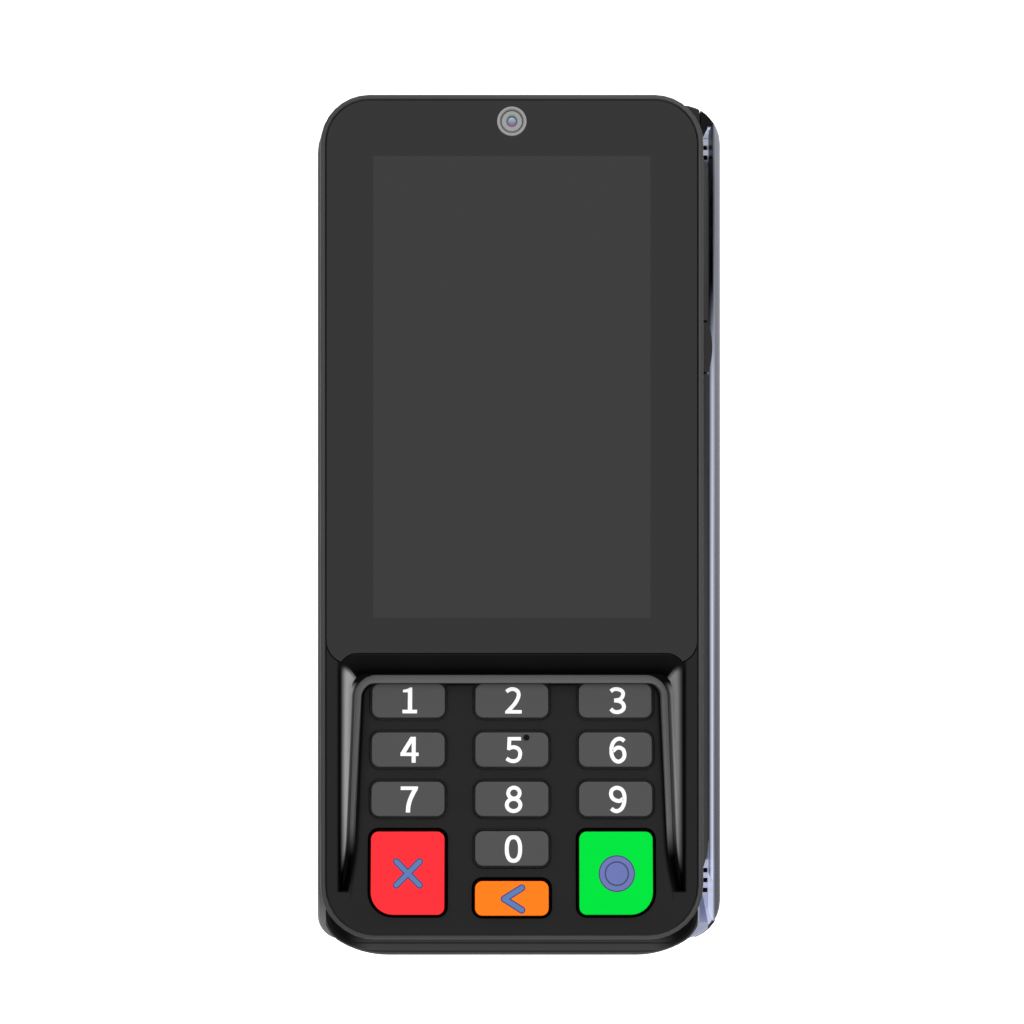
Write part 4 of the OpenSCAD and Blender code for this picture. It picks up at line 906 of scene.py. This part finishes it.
# ---- studio ----

BOX_POWER = 1.8          # watts
AIM = Vector((0, 0, 0))  # where the lights point
LIGHTS = {               # place and size
    "left box": ((-0.55, 0.05, 0.30), (0.7, 0.5)),
    "right box": ((0.55, 0.05, 0.30), (0.7, 0.5)),
    "far box": ((0.0, 0.60, 0.35), (0.8, 0.5)),
}
FLOOR_Z = -36 * MM       # clear of the battery door at its limit
WORLD_LIGHT = 0.95


def add_light(name, place, size):
    data = bpy.data.lights.new(name, "AREA")
    data.shape = "RECTANGLE"
    data.size, data.size_y = size
    data.energy = BOX_POWER
    obj = bpy.data.objects.new(name, data)
    obj.location = place
    obj.rotation_euler = (AIM - Vector(place)).to_track_quat("-Z", "Y").to_euler()
    obj.visible_camera = False
    scene.collection.objects.link(obj)


def add_floor():
    """A plain pale floor, wide enough to fill every view and clear of the open battery door."""
    bm = bmesh.new()
    bmesh.ops.create_grid(bm, x_segments=8, y_segments=8, size=3)
    mesh = bpy.data.meshes.new("floor")
    bm.to_mesh(mesh)
    bm.free()
    obj = bpy.data.objects.new("floor", mesh)
    obj.location.z = FLOOR_Z
    mesh.materials.append(plain_floor("floor_white"))
    scene.collection.objects.link(obj)


def add_world():
    world = bpy.data.worlds.new("studio")
    world.use_nodes = True
    back = world.node_tree.nodes["Background"]
    back.inputs["Color"].default_value = (1, 1, 1, 1)
    back.inputs["Strength"].default_value = WORLD_LIGHT
    scene.world = world
    scene.view_settings.view_transform = "Standard"


# ---- everything in place ----

add_camera()
add_world()
add_floor()
for name, (place, size) in LIGHTS.items():
    add_light(name, place, size)

FINISH = {
    "housing_silver": silver_paint("silver_lacquer"),
    "frame_dark": frame_plastic("frame_grey"),
    "panel_black": panel_black("panel_black_grain"),
    "cover_glass": cover_glass("cover_glass_black"),
    "display_back": plastic("display_white", (0.35, 0.36, 0.38), 0.5),
    "steel": metal("spring_steel", (0.56, 0.57, 0.58), 0.3),
    "copper": metal("copper_track", (0.75, 0.38, 0.22), 0.35),
    "camera_silver": camera_trim("camera_ring_grey"),
    "lens_glass": lens_glass("lens_coated"),
    "black_plastic": plastic("black_plastic", tone(24), 0.45),
    "grey_rubber": rubber("grey_silicone", (0.10, 0.10, 0.11), 0.6),
    "green_board": circuit_board("green_lacquer"),
    "contact_gold": metal("contact_gold", (0.83, 0.60, 0.24), 0.25),
    "liner_pale": liner_plastic("liner_pale"),
    "head_grey": metal("head_alloy", (0.036, 0.036, 0.037), 0.3, (40, 1, 40)),
    "battery_grey": plastic("battery_wrap", (0.09, 0.10, 0.12), 0.35),
    "black_rubber": rubber("black_rubber", (0.010, 0.010, 0.010)),
    "key_grey": key_plastic("key_grey_cap", tone(76)),
}
COLOURED = {             # node, colour and specular level of the three coloured keys
    "key_red": ("key_cancel", (0.93, 0.024, 0.032), 0.03),
    "key_green": ("key_ok", (0.0, 0.57, 0.036), 0.02),
    "key_orange": ("key_back", (0.93, 0.160, 0.009), 0.03),
}
for slot, (node, colour, spec) in COLOURED.items():
    FINISH[slot] = key_plastic(slot + "_cap", colour, spec, side_shade=0.003, low=0.78, node=node)
OWN = {
    "nose_bezel": nose_plastic("nose_grey"),
    "swipe_guide": guide_plastic("guide_grey"),
    "swipe_rail": rail_paint("rail_lacquer"),
    "swipe_pad": pad_plastic("pad_black"),
}
DOT = plastic("dot_black", (0.003, 0.003, 0.003), 0.4, spec=0.05)
WHITE_INK = plastic("ink_white", (0.74, 0.74, 0.74), 0.5, vary=0.02, spec=0.1)
BLUE_INK = plastic("ink_blue", tone(106, 118, 175), 0.5, vary=0.03, spec=0.05)
STEEL_INK = plastic("ink_steel_blue", tone(94, 123, 177), 0.5, vary=0.03, spec=0.05)
BLUE_EDGE = plastic("ink_blue_edge", tone(70, 72, 110), 0.5, vary=0.03, spec=0.05)

for name, obj in NODES.items():
    slot = obj.data.materials[0].name.split(".")[0]
    obj.data.materials.clear()
    obj.data.materials.append(OWN.get(name) or FINISH[slot])

SYMBOL_INK = {"key_cancel": STEEL_INK, "key_back": STEEL_INK, "key_ok": BLUE_INK}
for node in LEGEND:
    add_legend(node, SYMBOL_INK.get(node, WHITE_INK), BLUE_EDGE)

add_pocket_shades()
